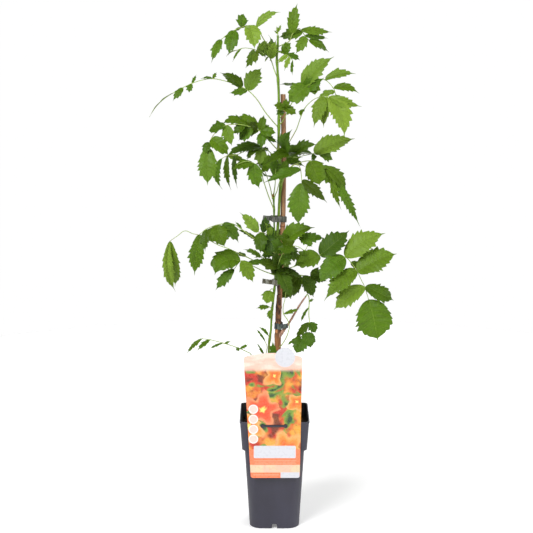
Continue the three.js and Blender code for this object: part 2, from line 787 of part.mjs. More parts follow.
      [6, [192, 521, -30], 44, 0, 0.06],
      [6, [77, 432, -56], 41, 0, -0.04],
      [8.15, [212, 485, -36], 46, 0, 0.02],
      [8, [86, 401, -62], 33, 0, -0.03],
      [10, [103, 385, -52], 33, 0, -0.02],
      [10, [208, 402, -38], 31, 0, -0.02],
      [12, [181, 330, -54], 66, 0],
      [7, [152, 461, -24], 13, 45],
    ],
  },
  leaf_right_low: {
    stem: "main",
    stalk: [[6.3, 444, -3], [17, 447, -2], [30, 449, 8], [46, 447, 16], [62, 445, 20]],
    leaflets: [
      [3, [10, 404, 24], 40, 0],
      [3.2, [68, 408, 28], 27, 0],
      [4, [92, 436, 28], 13, 15],
      [4, [90, 441, 14], 24, 10, 0.1],
    ],
  },
  leaf_low_hanging: {
    stem: "woody",
    stalk: [
      [54.2, 409.3, -5], [57, 413, -6], [59.5, 409, -9], [60.5, 400, -13], [60, 390, -18],
      [60, 375, -19], [61, 363, -20], [57, 350, -22], [54, 342, -23], [50, 334, -24],
    ],
    leaflets: [
      [3, [69, 405, -14], 4, 0],
      [4, [45, 361, -14], 5, 20],
      [6, [37, 333, -12], 17, 20],
      [6, [72, 344, -20], 17, 0],
      [7.5, [64, 317, -32], 26, 0],
      [8.5, [20, 320, -16], 8, 30],
      [9, [38, 307, -34], 26, 0],
    ],
  },
  leaf_back_middle: {
    stem: "main",
    stalk: [[10.8, 619, -3], [4, 625, 6], [2, 634, 22], [4, 644, 40], [8, 650, 58], [12, 650, 74]],
    leaflets: [
      [3, [-34, 640, 46], 22, 0],
      [3, [48, 652, 44], 22, 0],
      [4, [-26, 624, 66], 22, 0],
      [4, [52, 636, 66], 22, 0],
      [5, [14, 614, 96], 26, 0],
    ],
  },
  leaf_back_low: {
    stem: "main",
    stalk: [[5.2, 468, -3], [-2, 472, 6], [-4, 478, 22], [0, 485, 40], [6, 489, 58], [12, 490, 74]],
    leaflets: [
      [3, [-32, 502, 48], 22, 0],
      [3, [44, 494, 46], 24, 0],
      [4, [-24, 480, 66], 22, 0],
      [4, [50, 474, 68], 24, 0],
      [5, [18, 452, 94], 28, 0],
      [3, [-9, 542, 34], 26, 0],
      [3, [15, 538, 30], 20, 0],
    ],
  },
  stem_leaf_upper: {
    stem: "front",
    stalk: [[-0.3, 421, -9], [-5, 423, -15], [-8, 420, -19]],
    leaflets: [[2, [-14, 396, -26], 22, 0]],
  },
  stem_leaf_middle: {
    stem: "front",
    stalk: [[-4.2, 387, -9], [-9, 391, -12]],
    leaflets: [[1, [-32, 388, -18], 10, 10]],
  },
  stem_leaf_lower: {
    stem: "front",
    stalk: [[-5, 377, -9], [-7, 385, -14]],
    leaflets: [[1, [-9, 368, -20], 10, 0]],
  },
  basal_leaf_left: {
    stem: "front",
    stalk: [[-8, 333, -11], [-11, 340, -14]],
    leaflets: [[1, [-29, 356, -20], 7, 20]],
  },
  thin_shoot_right: {
    stem: "woody",
    stalk: [
      [5.2, 318, -2], [12, 322, -9], [18, 331, -13], [23, 342, -15], [26, 356, -15], [23, 367, -13],
      [16, 378, -11], [15, 390, -10], [18, 404, -10], [20, 418, -10],
    ],
    leaflets: [[6, [46, 388, -16], 6, 20]],
  },
  trailing_shoot: {
    stalk: [
      [-20, 165, 5], [-24, 220, 3], [-30, 270, 0], [-40, 303, -4], [-50, 311, -6], [-66, 318, -9],
      [-90, 326, -12], [-113, 332, -14], [-127, 334, -15],
    ],
    leaflets: [
      [4.7, [-45, 324, -8], 5, 20],
      [5, [-62, 311, -12], 6, 0],
      [5.9, [-76, 329, -14], 4, 0],
      [6, [-115, 315, -18], 5, 10],
      [7, [-137, 311, -22], 8, 0],
      [8, [-155, 306, -20], 8, 10],
    ],
  },
  basal_shoot_left: {
    stalk: [[-14, 165, -10], [-15, 240, -12], [-16, 296, -14], [-13, 318, -15], [-16, 328, -16]],
    leaflets: [
      [2, [-34, 330, -24], 4, 10],
      [4, [-35, 354, -19], 4, 20],
    ],
  },
  basal_leaf_center: {
    stalk: [[-2, 165, -22], [-3, 240, -24], [-2, 296, -24]],
    leaflets: [[2, [-3, 332, -24], 12, 0]],
  },
};

function makeLeaf({ stem, stalk, leaflets }) {
  const points = stalk.map(place);
  const parts = [tube(stalk, stalk.map(() => STALK_RADIUS), STALK_SIDES)];
  for (const [at, tip, width, turn, bow = 0] of leaflets) {
    const before = Math.min(Math.floor(at), points.length - 2);
    const foot = points[before].clone().lerp(points[before + 1], at - before);
    parts.push(blade(foot, place(tip), width, turn, bow));
  }
  const leaf = joined(parts);
  return stem ? leaf.subtract(stemSolid(STEMS[stem], FIT_GAP)) : leaf;
}

// ---- materials ----------------------------------------------------------------------------------
function finish(color, roughness) {
  return new THREE.MeshStandardMaterial({ color, roughness, metalness: 0 });
}

const plant = new THREE.Group();

function add(name, body, material) {
  const mesh = new THREE.Mesh(geometryOf(body), material);
  mesh.name = name;
  plant.add(mesh);
}

// ---- the whole ----------------------------------------------------------------------------------
const caneRadii = CANE.map(() => CANE_RADIUS);
const woodyBase = stemSolid(STEMS.woody).add(tube(TWIG, TWIG_RADII, TWIG_SIDES));
const rooted = Object.values(LEAVES).filter(({ stem }) => !stem);
const holes = [
  tube(CANE, caneRadii, CANE_SIDES, FIT_GAP),
  stemSolid(STEMS.woody, FIT_GAP),
  stemSolid(STEMS.front, FIT_GAP),
  ...rooted.map(({ stalk }) => tube(stalk, stalk.map(() => STALK_RADIUS), STALK_SIDES, FIT_GAP)),
];

add("pot", makePot(), finish(0x504e58, 0.45));
add("soil", makeSoil(holes), finish(0x2b1d14, 0.95));
add("label", makeLabel(), finish(0xf0a070, 0.35));
add("bamboo_cane", tube(CANE, caneRadii, CANE_SIDES), finish(0xa8764a, 0.6));
add("woody_base", woodyBase, finish(0x6b4a2e, 0.8));
add("main_stem", stemSolid(STEMS.main), finish(0x7f9a3c, 0.5));
add("front_stem", stemSolid(STEMS.front), finish(0x94ab52, 0.5));
for (const tie of TIES) {
  add(tie.name, makeTie(tie), finish(0x3c423a, 0.6));
}
for (const [name, leaf] of Object.entries(LEAVES)) {
  add(name, makeLeaf(leaf), finish(0x56832c, 0.55));
}

export default plant;
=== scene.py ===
"""The surfaces of a young trumpet vine tied to its cane, in a tall square nursery pot with a hang label."""

import json
import math
import random

import bmesh
import bpy
from mathutils import Matrix, Quaternion, Vector, noise

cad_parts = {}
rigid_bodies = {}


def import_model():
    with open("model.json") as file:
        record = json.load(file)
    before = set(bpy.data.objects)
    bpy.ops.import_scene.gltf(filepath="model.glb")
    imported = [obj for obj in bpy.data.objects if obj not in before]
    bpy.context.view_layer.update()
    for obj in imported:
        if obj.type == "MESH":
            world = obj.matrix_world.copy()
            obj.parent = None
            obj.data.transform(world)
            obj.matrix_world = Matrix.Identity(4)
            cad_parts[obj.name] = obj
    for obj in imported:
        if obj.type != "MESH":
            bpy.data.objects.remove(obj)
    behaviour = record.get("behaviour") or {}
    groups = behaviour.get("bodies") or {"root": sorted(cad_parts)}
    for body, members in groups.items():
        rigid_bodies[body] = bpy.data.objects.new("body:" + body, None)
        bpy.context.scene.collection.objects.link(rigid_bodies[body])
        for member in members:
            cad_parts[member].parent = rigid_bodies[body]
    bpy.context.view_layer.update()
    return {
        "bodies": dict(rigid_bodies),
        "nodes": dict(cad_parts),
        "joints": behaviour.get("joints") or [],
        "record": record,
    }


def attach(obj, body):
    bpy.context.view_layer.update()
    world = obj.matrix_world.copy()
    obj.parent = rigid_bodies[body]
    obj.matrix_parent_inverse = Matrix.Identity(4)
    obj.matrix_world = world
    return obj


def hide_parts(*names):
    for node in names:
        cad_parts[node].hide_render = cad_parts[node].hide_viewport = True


bl_info = {
    "name": "Potted Trumpet Vine",
    "version": (1, 0, 0),
    "blender": (4, 5, 0),
    "location": "View3D > Sidebar > Vine",
    "description": "Builds the surfaces of a potted trumpet vine around its packed frame",
    "category": "Add Mesh",
}

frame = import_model()

MM = 0.001
UP = Vector((0, 0, 1))
TO_FRONT = Matrix.Rotation(math.radians(90), 4, "X")  # lays an upright axis along Y

# ---- where things stand ---------------------------------------------------------------------------
# The plant is laid out on its front elevation, in millimetres. A place is (x, z, depth): x and z are
# where the sight line from a standing eye meets the upright plane through the stem (y = 0), and depth
# moves the point along that line, away from the eye where it is positive.
EYE = Vector((-14, -2200, 873))
EYE_PITCH = math.radians(10.57)
EYE_LENS = 87.2
FACING = Vector((0, -0.75, 0.66))  # the way that an unturned leaflet faces


def place(x, z, depth):
    """The point of a place, in metres."""
    return ((Vector((x, 0, z)) - EYE) * (1 - depth / EYE.y) + EYE) * MM


# ---- stems, as routes of places -------------------------------------------------------------------
CANE = [
    (5, 30, 9), (6, 172, 9), (7, 318, 9), (8.5, 400, 8), (11.5, 475, 7),
    (14.5, 555, 6), (15.5, 650, 6), (15, 700, 6), (14, 759, 6),
]
CANE_NODES = [92, 238, 388, 532, 688]  # heights of the rings on the bamboo, in millimetres
WOODY_BASE = [
    (4, 120, -2), (5, 250, -2), (5, 318, -2), (5.5, 340, -2), (6, 365, -1.5), (7, 392, -2),
    (7.5, 412, -2),
]
WOODY_RADII = [4.5, 4.8, 5.4, 5.4, 4.9, 4.2, 3.6]
TWIG = [(6, 336, -2), (13, 346, -3), (18, 352, -3), (26, 363, -3), (42, 391, -4), (54, 409, -5)]
TWIG_RADII = [4.2, 3.6, 2.6, 1.9, 1.7, 1.4]
MAIN_STEM = [
    (7.5, 413, -2), (6, 440, -3), (5, 480, -3), (5, 520, -2), (7, 552, -2), (9, 590, -2),
    (11, 612, -3), (9.5, 640, -3), (6.5, 662, -2), (7, 700, -2), (7, 740, -2), (6.5, 765, -2),
    (4.5, 800, -2), (3.5, 820, -2), (5, 845, -3), (5, 857, -3),
]
MAIN_RADII = [2.6, 2.6, 2.6, 2.5, 2.5, 2.4, 2.4, 2.4, 2.3, 2.3, 2.2, 2.1, 2, 1.9, 1.7, 1.4]
FRONT_STEM = [
    (-8, 150, -12), (-10, 300, -12), (-8, 336, -11), (-6, 352, -10), (-5, 380, -9), (-2.5, 400, -9),
    (0, 425, -9), (1.5, 445, -9), (1.5, 482, -9), (1.5, 505, -8), (0, 520, -7), (-1, 545, -6),
    (-1, 562, -6), (-2, 586, -5),
]
FRONT_RADII = [2, 2, 2, 1.9, 1.9, 1.8, 1.8, 1.7, 1.6, 1.6, 1.5, 1.5, 1.4, 1.3]

# ---- leaves ---------------------------------------------------------------------------------------
# Each leaf: the places of its stalk from the stem outwards, then its leaflets as (where on the stalk,
# counted in places, the place of the tip, width in millimetres, turn about its length in degrees, how
# far its middle bows to the left as a share of its length, how pale it is from -1 to 1 and, where it
# isn't WIDEST_AT, how far along its length it is widest). How pale a leaflet is, is partly its own
# colour and partly painted light and shade: leaflets in shade, as in the middle of the plant, are
# darker, and lit ones paler.
LEAVES = {
    "leaf_crown_left": [
        [(3.8, 833, -2), (-5, 838, -5), (-17, 848, -9), (-31, 870, -14), (-45, 873, -19),
         (-62, 868, -25), (-80, 858, -31), (-90, 850, -34)],
        (3, (10, 895, -20), 16, 10, 0.13, 0.8),
        (3.8, (-34, 834, -40), 29, -10, 0, 1),
        (4.5, (-52, 893, -20), 18, 20, 0.12, 0.1),
        (4.2, (-78, 856, -8), 14, 60, 0, -0.2),
        (5.3, (-78, 824, -44), 24, 0, 0, 0.1),
        (7, (-107, 811, -50), 15, 0, 0, 0.2),
    ],
    "leaf_crown_right": [
        [(4.5, 838, -3), (14, 842, 3), (25, 848, 9), (30, 860, 13), (41, 868, 18), (50, 857, 23),
         (57, 849, 26)],
        (3, (38, 910, 16), 20, 10, 0.06, 0.3),
        (4.6, (5, 853, 18), 19, -20, 0, 0.15),
        (4.3, (97, 862, 28), 14, 40, 0, 0.2),
        (5, (90, 852, 40), 10, 50, 0, 0.1),
        (5.2, (35, 826, 16), 18, -10, 0.03, 0.35),
        (6, (91, 829, 38), 18, 0, 0, 0.2),
    ],
    "leaf_upper_left": [
        [(5.7, 783, -2), (-1, 800, 4), (-6, 815, 9), (-12, 823, 12), (-30, 832, 20), (-50, 836, 28),
         (-65, 832, 34)],
        (3, (-7, 851, -6), 16, 20, 0, 0.6),
        (4, (-12, 848, 26), 12, 40, 0, 0.7),
        (4, (-13, 825, 34), 16, 20, 0, 0.6),
        (4.3, (-50, 802, 26), 14, 0, 0.1, 0.4),
        (4, (-32, 809, 12), 14, 40, 0, 0.5),
        (5.4, (-71, 813, 36), 7, 30, 0, 0.3),
        (6, (-82, 822, 42), 8, 50, 0, -0.1),
        (2.6, (-11, 858, 40), 11, 30, -0.12, 0.2),
        (2.4, (3, 851, -14), 17, 30, 0, 0.6),
        (2.2, (5, 830, -10), 15, 10, -0.05, 0.5),
        (2.8, (-17, 813, 16), 5, 20, 0, 0.6),
    ],
    "leaf_upper_right": [
        [(3.9, 812, -2), (10, 820, -10), (18, 825, -18), (25, 821, -24), (30, 815, -28)],
        (2, (-1, 828, -24), 9, 30, -0.1, 0.4),
        (1.8, (28, 845, -22), 17, 10, 0.12, 0),
        (2.2, (43, 815, -18), 10, 30, 0.08, -0.4),
        (2.5, (5, 810, -26), 9, 0, 0, 0.9),
        (3, (16, 798, -32), 8, 0, 0, 0.8),
        (4, (30, 790, -36), 6, 40, 0, -0.1),
    ],
    "shoot_tip": [
        [(5, 857.8, -3), (5, 864, -3)],
        (0.4, (3, 873, -6), 3, 0, 0, 0.7),
        (0.6, (11, 876, -2), 3.4, 20, 0, 0.7),
        (0.2, (-2, 865, -6), 3, 0, 0, 0.7),
        (1, (6, 871, 2), 2.8, 60, 0, 0.7),
        (0.8, (8, 871, -2), 2.8, 30, 0, 0.7),
    ],
    "leaf_whip_left": [
        [(7, 702, -2), (-4, 714, 4), (-17, 730, 10), (-30, 750, 16), (-45, 765, 22), (-62, 773, 28),
         (-80, 780, 31), (-105, 785, 32), (-125, 782, 30), (-140, 777, 28), (-155, 770, 25),
         (-172, 761, 21)],
        (4, (-22, 803, 30), 29, 0, 0.04, 0.5),
        (4.6, (-92, 795, 44), 24, 10, 0, -0.6),
        (4.1, (-77, 761, 20), 19, 10, 0.1, 0.2),
        (7, (-98, 796, 37), 5, 20, 0, 0.2),
        (7, (-125, 785, 30), 8, 20, 0, -0.1),
        (9, (-132, 792, 34), 5, 20, 0, 0),
        (9.1, (-145, 761, 22), 11, 10, 0, 0),
        (10, (-173, 747, 17), 13, 0, 0, -0.1),
        (11, (-213, 720, 10), 13, 60, 0, 0),
    ],
    "leaf_right_upper": [
        [(7, 706, -2), (13, 713, -9), (20, 726, -14), (31, 748, -20), (43, 768, -25), (56, 775, -30),
         (70, 780, -35), (85, 783, -40), (99, 769, -46), (103, 758, -48)],
        (4, (8, 775, -20), 14, 30, -0.12, -0.7),
        (4.3, (100, 822, -34), 34, 0, 0.03, 0.6),
        (4.9, (22, 746, -36), 36, -5, 0.06, 0.3),
        (6, (68, 757, -46), 22, 30, 0, -0.4),
        (7, (137, 793, -42), 18, 0, 0.05, 0.5),
        (8, (143, 760, -50), 15, 10, 0.1, 0),
        (8.4, (72, 752, -54), 18, 20, 0, 0.6),
        (9, (113, 742, -56), 9, 30, 0, 0),
        (4.3, (84, 787, -46), 24, 30, -0.08, -0.1),
    ],
    "leaf_front_upper": [
        [(7, 716, -2), (10, 720, -14), (15, 727, -26), (18, 735, -38)],
        (3, (-3, 741, -44), 14, -10, 0, -0.3),
        (2.3, (2, 724, -40), 12, 0, 0, -0.3),
        (3, (37, 725, -46), 15, 10, 0, -0.3),
        (3, (20, 753, -50), 13, 10, 0, -0.2),
    ],
    "leaf_right_drooping": [
        [(8, 652, -3), (13, 656, -0.5), (19, 666, 0), (26, 680, -2), (37, 700, -18), (44, 720, -38),
         (52, 737, -54), (66, 750, -64), (80, 755, -72), (92, 755, -76)],
        (5.8, (43, 721, -66), 9, 30, 0, 0),
        (8.3, (66, 702, -84), 25, 10, 0, 0.4),
        (8.7, (83, 702, -74), 20, 20, 0, 0.6),
        (9, (118, 685, -92), 34, 0, 0.1, 0.7),
        (9, (148, 738, -78), 18, 20, -0.06, 0.5),
    ],
    "leaf_right_middle": [
        [(7.4, 657, -3), (16, 656, -5), (24, 654, -2), (36, 652, 8), (50, 655, 18), (64, 658, 24),
         (80, 662, 28)],
        (5, (-27, 632, -60), 27, 0, -0.07, -0.55),
        (5.2, (137, 684, 40), 36, 0, 0, 0.7),
        (2.2, (75, 673, -20), 23, 0, 0.11, -0.5),
        (2, (30, 700, -58), 30, 30, 0.08, -0.45),
        (5, (68, 646, 32), 9, 10, 0, -0.4),
        (5.6, (100, 647, 36), 20, 0, 0, 0.25),
    ],
    "leaf_right_long": [
        [(11, 614, -3), (20, 626, -8), (35, 640, -8), (60, 646, -4), (82, 638, 0), (97, 624, 3),
         (104, 611, 5)],
        (3, (77, 603, -8), 38, 0, 0.02, -0.15),
        (5, (115, 561, 2), 12, 10, -0.05, 0.15),
        (5.4, (148, 530, 10), 16, 10, 0, 0),
        (4, (98, 604, 4), 24, 0, 0, 0.2),
        (4.2, (123, 588, 8), 24, 0, 0.06, -0.35),
    ],
    "leaf_right_hanging": [
        [(10, 602, -3), (18, 620, -14), (28, 636, -22), (38, 640, -28), (44, 632, -34), (47, 608, -40)],
        (4, (-20, 608, -46), 22, 10, 0.06, -0.15),
        (4.8, (91, 573, -48), 20, 10, 0, -0.8),
        (5, (41, 533, -46), 36, 0, -0.03, 0.25, 0.46),
    ],
    "leaf_left_upper": [
        [(6.8, 663, -3), (-3, 673, -8), (-12, 684, -12), (-25, 697, -18), (-45, 705, -26),
         (-65, 708, -32), (-83, 706, -38), (-98, 697, -42), (-108, 684, -45), (-114, 668, -47)],
        (3, (-18, 725, -14), 15, 10, 0, -0.3),
        (3, (3, 693, -24), 20, 10, 0, 0.05),
        (3.3, (-65, 721, -20), 20, 10, -0.16, 0.15),
        (2.8, (-23, 666, -28), 17, 0, 0, 0),
        (3.6, (-61, 681, -14), 27, 0, 0, 0.15),
        (6, (-113, 697, -26), 26, 10, 0.05, -0.35),
        (6, (-73, 671, -48), 20, 10, 0, 0.4),
        (8, (-78, 655, -54), 25, 10, 0, 0.1),
        (9, (-115, 603, -56), 31, 0, 0, 0.35, 0.5),
        (3.2, (-44, 710, -28), 18, 10, 0, -1),
        (4, (-91, 708, -30), 21, 10, -0.2, -0.3),
        (4.3, (-71, 692, -30), 14, 0, 0.05, -0.3),
        (2.4, (6, 676, -14), 8, 30, 0, -0.4),
        (8.4, (-116, 658, -54), 17, 20, -0.08, -0.4),
        (4.4, (-70, 692, -24), 17, 10, 0, -0.4),
        (1.6, (-18, 699, -18), 13, 20, 0, 0.2),
        (3.1, (-62, 680, -16), 16, 10, -0.06, 0),
    ],
    "leaf_left_inner": [
        [(8.6, 647, -3), (-2, 655, 4), (-12, 664, 10), (-22, 668, 16), (-37, 668, 24), (-52, 662, 30),
         (-66, 656, 36), (-80, 655, 42), (-90, 650, 46)],
        (2.9, (-9, 664, 16), 6, 30, 0, -0.5),
        (3, (-25, 639, 22), 21, 0, 0, 0.85),
        (4, (-47, 647, 20), 9, 0, 0, 0.2),
        (7, (-51, 645, 52), 12, 20, 0, 0.5),
        (7, (-74, 594, 42), 10, 10, -0.07, -0.5),
        (6.2, (-64, 598, 30), 10, 30, 0, -0.6),
        (8, (-89, 596, 56), 13, 20, -0.16, -0.2),
        (4, (-50, 660, 26), 6, 20, 0, 0),
        (2.8, (-85, 650, 14), 22, 10, -0.14, -0.35),
        (2.9, (-49, 649, 4), 8, 20, 0, 0.3),
        (2.4, (-51, 662, 8), 7, 20, 0, 0),
    ],
    "leaf_left_arching": [
        [(-1, 562, -6), (-10, 584, -16), (-18, 608, -28), (-25, 630, -38), (-36, 642, -46),
         (-50, 645, -54), (-64, 640, -60)],
        (4, (-26, 598, -52), 25, 10, -0.04, 0.1),
        (4, (-74, 630, -64), 19, 0, -0.04, -0.25),
    ],
    "leaf_front_top": [
        [(-2, 586.8, -5), (0, 599, -8), (1, 610, -13), (1, 621, -19), (2, 632, -25)],
        (2.6, (-8, 662, -20), 15, 10, 0, -0.2),
    ],
    "leaf_front_top_left": [
        [(-3.4, 581, -5.6), (-5.2, 588, -8), (-7, 598, -11), (-10, 609, -15), (-14, 621, -20),
         (-19, 633, -24)],
        (4, (-18, 620, -32), 26, 0, 0.04, -0.35),
        (5, (-26, 635, -34), 22, 10, 0, -0.3),
        (4.6, (-10, 661, -34), 14, 20, 0, -0.2),
    ],
    "leaf_front_top_right": [
        [(-1, 580, -5), (1.2, 588, -8), (4, 594, -10), (7, 606, -14), (10, 616, -18), (14, 628, -22)],
        (4, (21, 651, -30), 18, 10, 0, -0.5),
    ],
    "leaf_left_sweeping": [
        [(1.5, 485, -9), (-15, 497, -22), (-35, 511, -34), (-57, 528, -44), (-75, 538, -50),
         (-100, 535, -56), (-118, 528, -60), (-129, 519, -62)],
        (3, (-68, 541, -36), 6, 30, 0, 0),
        (4.6, (-62, 504, -58), 23, 0, 0.05, -0.45),
        (5, (-86, 497, -68), 31, 0, -0.05, -0.35),
        (6, (-120, 488, -72), 15, 20, 0, -0.5),
        (7, (-139, 446, -64), 25, -15, -0.03, -0.15, 0.5),
        (1.6, (-68, 529, -24), 9, 20, 0, 0.1),
    ],
    "leaf_left_far": [
        [(5.7, 453, -3), (-8, 458, 8), (-22, 466, 16), (-50, 480, 26), (-80, 494, 34), (-97, 500, 38),
         (-126, 516, 42), (-141, 520, 44), (-155, 525, 45), (-168, 516, 46), (-181, 507, 47)],
        (3, (-69, 486, 36), 12, 25, 0, -0.3),
        (6, (-84, 514, 52), 30, 0, 0, -0.4),
        (10, (-172, 418, 46), 20, -25, -0.15, 0.75, 0.62),
        (10, (-173, 426, 70), 22, 20, 0.06, 0.25, 0.66),
    ],
    "leaf_left_low": [
        [(1.5, 447, -9), (-18, 454, -22), (-35, 462, -32), (-50, 470, -40), (-59, 472, -44),
         (-70, 458, -49)],
        (2.8, (-12, 474, -30), 10, 40, 0, -0.4),
        (3.8, (-37, 434, -48), 24, 0, 0, 0.35),
        (5, (-103, 420, -50), 19, 0, 0, -0.2, 0.42),
        (4, (-104, 447, -64), 43, 0, -0.24, -0.1),
    ],
    "leaf_left_small": [
        [(5.3, 463, -3), (-6, 469, 10), (-16, 475, 20), (-24, 480, 28)],
        (2.6, (-36, 478, 22), 5, 30, 0, 0),
        (3, (-54, 493, 40), 10, 10, 0, 0.2),
    ],
    "leaf_center_left": [
        [(1.2, 509, -8), (-8, 515, -18), (-18, 521, -26), (-28, 523, -30)],
        (1, (-18, 541, -29), 14, 20, 0, 0.5),
        (1.5, (-6, 480, -41), 25, 0, 0, -0.8),
        (2.2, (-15, 552, -21), 15, 20, 0, -1),
        (2.6, (-24, 485, -48), 24, 10, 0, -0.5),
        (3, (-60, 557, -33), 22, 0, 0, 0.75),
    ],
    "leaf_front_center": [
        [(5.9, 449, -3), (6, 455, -16), (6, 463, -32), (9, 474, -48), (15, 488, -62), (22, 500, -74)],
        (2, (-27, 468, -44), 24, 0, 0, -0.75),
        (2.5, (-5, 486, -50), 18, 0, 0, -0.8),
        (4, (-8, 508, -78), 24, 0, 0, -0.4),
        (4.4, (36, 508, -78), 22, 10, 0, -0.6),
        (5, (16, 484, -96), 26, 0, 0, -0.5),
        (1, (28, 450, -44), 16, 0, 0, -0.8),
        (1.5, (-6, 450, -24), 22, 0, 0, -0.9),
        (3, (33, 478, -60), 24, 0, 0, -0.4),
        (1.2, (-5, 481, -30), 24, 0, 0, -1),
        (2, (17, 475, -48), 18, 0, 0, -0.9),
        (1, (-32, 474, -34), 20, 10, -0.06, -0.7),
        (1.2, (53, 437, -48), 12, 10, 0.08, -0.9),
        (1.6, (29, 404, -36), 25, 0, 0.02, -0.6),
        (1, (15, 489, -16), 14, 0, 0, -0.9),
    ],
    "leaf_right_dome": [
        [(5, 497, -3), (14, 503, -7), (24, 508, -10), (35, 511, -12), (46, 512, -14)],
        (1, (70, 531, -22), 35, 0, 0.07, 0),
        (2.6, (0, 514, -24), 18, 10, 0, -0.5),
        (3.6, (88, 512, -12), 18, 15, 0, -0.35),
        (4, (57, 500, -22), 12, 0, 0, 0),
    ],
    "leaf_right_thin": [
        [(6, 445, -3), (12, 452, -12), (17, 462, -22), (22, 480, -32), (30, 497, -38), (41, 497, -38),
         (52, 491, -38), (57, 499, -38)],
        (4, (12, 489, -44), 20, 10, 0, -0.7),
        (4, (36, 475, -42), 14, 10, 0, -0.7),
        (6, (48, 479, -42), 8, 20, 0, 0),
        (7, (66, 508, -40), 9, 30, 0, 0),
    ],
    "leaf_right_big": [
        [(5.6, 455, -3), (20, 458, -8), (38, 464, -14), (60, 474, -20), (78, 482, -26), (100, 481, -30),
         (122, 479, -34), (132, 470, -36), (142, 456, -38), (150, 440, -40), (157, 426, -41),
         (161, 413, -42), (164, 404, -42)],
        (4, (129, 526, -16), 40, 0, -0.04, -0.6),
        (4, (33, 463, -42), 36, 0, 0, 0.3),
        (6, (192, 521, -30), 44, 0, 0.06, 0.6),
        (6, (77, 432, -56), 41, 0, -0.04, 0.05),
        (8.15, (212, 485, -36), 46, 0, 0.02, 0.35, 0.45),
        (8, (86, 401, -62), 33, 0, -0.03, 0.25),
        (10, (103, 385, -52), 33, 0, -0.02, 0.55, 0.5),
        (10, (208, 402, -38), 31, 0, -0.02, -0.4, 0.52),
        (12, (181, 330, -54), 66, 0, 0, 0.1, 0.5),
        (7, (152, 461, -24), 13, 45, 0, -0.5),
    ],
    "leaf_right_low": [
        [(6.3, 444, -3), (17, 447, -2), (30, 449, 8), (46, 447, 16), (62, 445, 20)],
        (3, (10, 404, 24), 40, 0, 0, -0.5),
        (3.2, (68, 408, 28), 27, 0, 0, -0.45),
        (4, (92, 436, 28), 13, 15, 0, -0.3),
        (4, (90, 441, 14), 24, 10, 0.1, -0.6),
    ],
    "leaf_low_hanging": [
        [(54.2, 409.3, -5), (57, 413, -6), (59.5, 409, -9), (60.5, 400, -13), (60, 390, -18),
         (60, 375, -19), (61, 363, -20), (57, 350, -22), (54, 342, -23), (50, 334, -24)],
        (3, (69, 405, -14), 4, 0, 0, 0),
        (4, (45, 361, -14), 5, 20, 0, -0.3),
        (6, (37, 333, -12), 17, 20, 0, -0.6),
        (6, (72, 344, -20), 17, 0, 0, -0.4),
        (7.5, (64, 317, -32), 26, 0, 0, -0.4),
        (8.5, (20, 320, -16), 8, 30, 0, 0),
        (9, (38, 307, -34), 26, 0, 0, -0.3),
    ],
    "leaf_back_middle": [
        [(10.8, 619, -3), (4, 625, 6), (2, 634, 22), (4, 644, 40), (8, 650, 58), (12, 650, 74)],
        (3, (-34, 640, 46), 22, 0, 0, -0.1),
        (3, (48, 652, 44), 22, 0, 0, -0.1),
        (4, (-26, 624, 66), 22, 0, 0, -0.1),
        (4, (52, 636, 66), 22, 0, 0, -0.1),
        (5, (14, 614, 96), 26, 0, 0, -0.1),
    ],
    "leaf_back_low": [
        [(5.2, 468, -3), (-2, 472, 6), (-4, 478, 22), (0, 485, 40), (6, 489, 58), (12, 490, 74)],
        (3, (-32, 502, 48), 22, 0, 0, -0.3),
        (3, (44, 494, 46), 24, 0, 0, -0.3),
        (4, (-24, 480, 66), 22, 0, 0, -0.3),
        (4, (50, 474, 68), 24, 0, 0, -0.3),
        (5, (18, 452, 94), 28, 0, 0, -0.3),
        (3, (-9, 542, 34), 26, 0, 0, -0.9),
        (3, (15, 538, 30), 20, 0, 0, -0.9),
    ],
    "stem_leaf_upper": [
        [(-0.3, 421, -9), (-5, 423, -15), (-8, 420, -19)],
        (2, (-14, 396, -26), 22, 0, 0, 0.4),
    ],
    "stem_leaf_middle": [
        [(-4.2, 387, -9), (-9, 391, -12)],
        (1, (-32, 388, -18), 10, 10, 0, -0.2),
    ],
    "stem_leaf_lower": [
        [(-5, 377, -9), (-7, 385, -14)],
        (1, (-9, 368, -20), 10, 0, 0, 0),
    ],
    "basal_leaf_left": [
        [(-8, 333, -11), (-11, 340, -14)],
        (1, (-29, 356, -20), 7, 20, 0, 0),
    ],
    "thin_shoot_right": [
        [(5.2, 318, -2), (12, 322, -9), (18, 331, -13), (23, 342, -15), (26, 356, -15), (23, 367, -13),
         (16, 378, -11), (15, 390, -10), (18, 404, -10), (20, 418, -10)],
        (6, (46, 388, -16), 6, 20, 0, 0),
    ],
    "trailing_shoot": [
        [(-20, 165, 5), (-24, 220, 3), (-30, 270, 0), (-40, 303, -4), (-50, 311, -6), (-66, 318, -9),
         (-90, 326, -12), (-113, 332, -14), (-127, 334, -15)],
        (4.7, (-45, 324, -8), 5, 20, 0, 0),
        (5, (-62, 311, -12), 6, 0, 0, 0),
        (5.9, (-76, 329, -14), 4, 0, 0, 0),
        (6, (-115, 315, -18), 5, 10, 0, 0),
        (7, (-137, 311, -22), 8, 0, 0, -0.2),
        (8, (-155, 306, -20), 8, 10, 0, -0.1),
    ],
    "basal_shoot_left": [
        [(-14, 165, -10), (-15, 240, -12), (-16, 296, -14), (-13, 318, -15), (-16, 328, -16)],
        (2, (-34, 330, -24), 4, 10, 0, 0),
        (4, (-35, 354, -19), 4, 20, 0, 0),
    ],
    "basal_leaf_center": [
        [(-2, 165, -22), (-3, 240, -24), (-2, 296, -24)],
        (2, (-3, 332, -24), 12, 0, 0, 0),
    ],
}


# ---- colours --------------------------------------------------------------------------------------
def color(red, green, blue):
    """A scene colour from red, green and blue counted from 0 to 255 as on a screen."""
    return tuple(
        (c / 255 / 12.92) if c / 255 <= 0.04045 else ((c / 255 + 0.055) / 1.055) ** 2.4
        for c in (red, green, blue)
    )


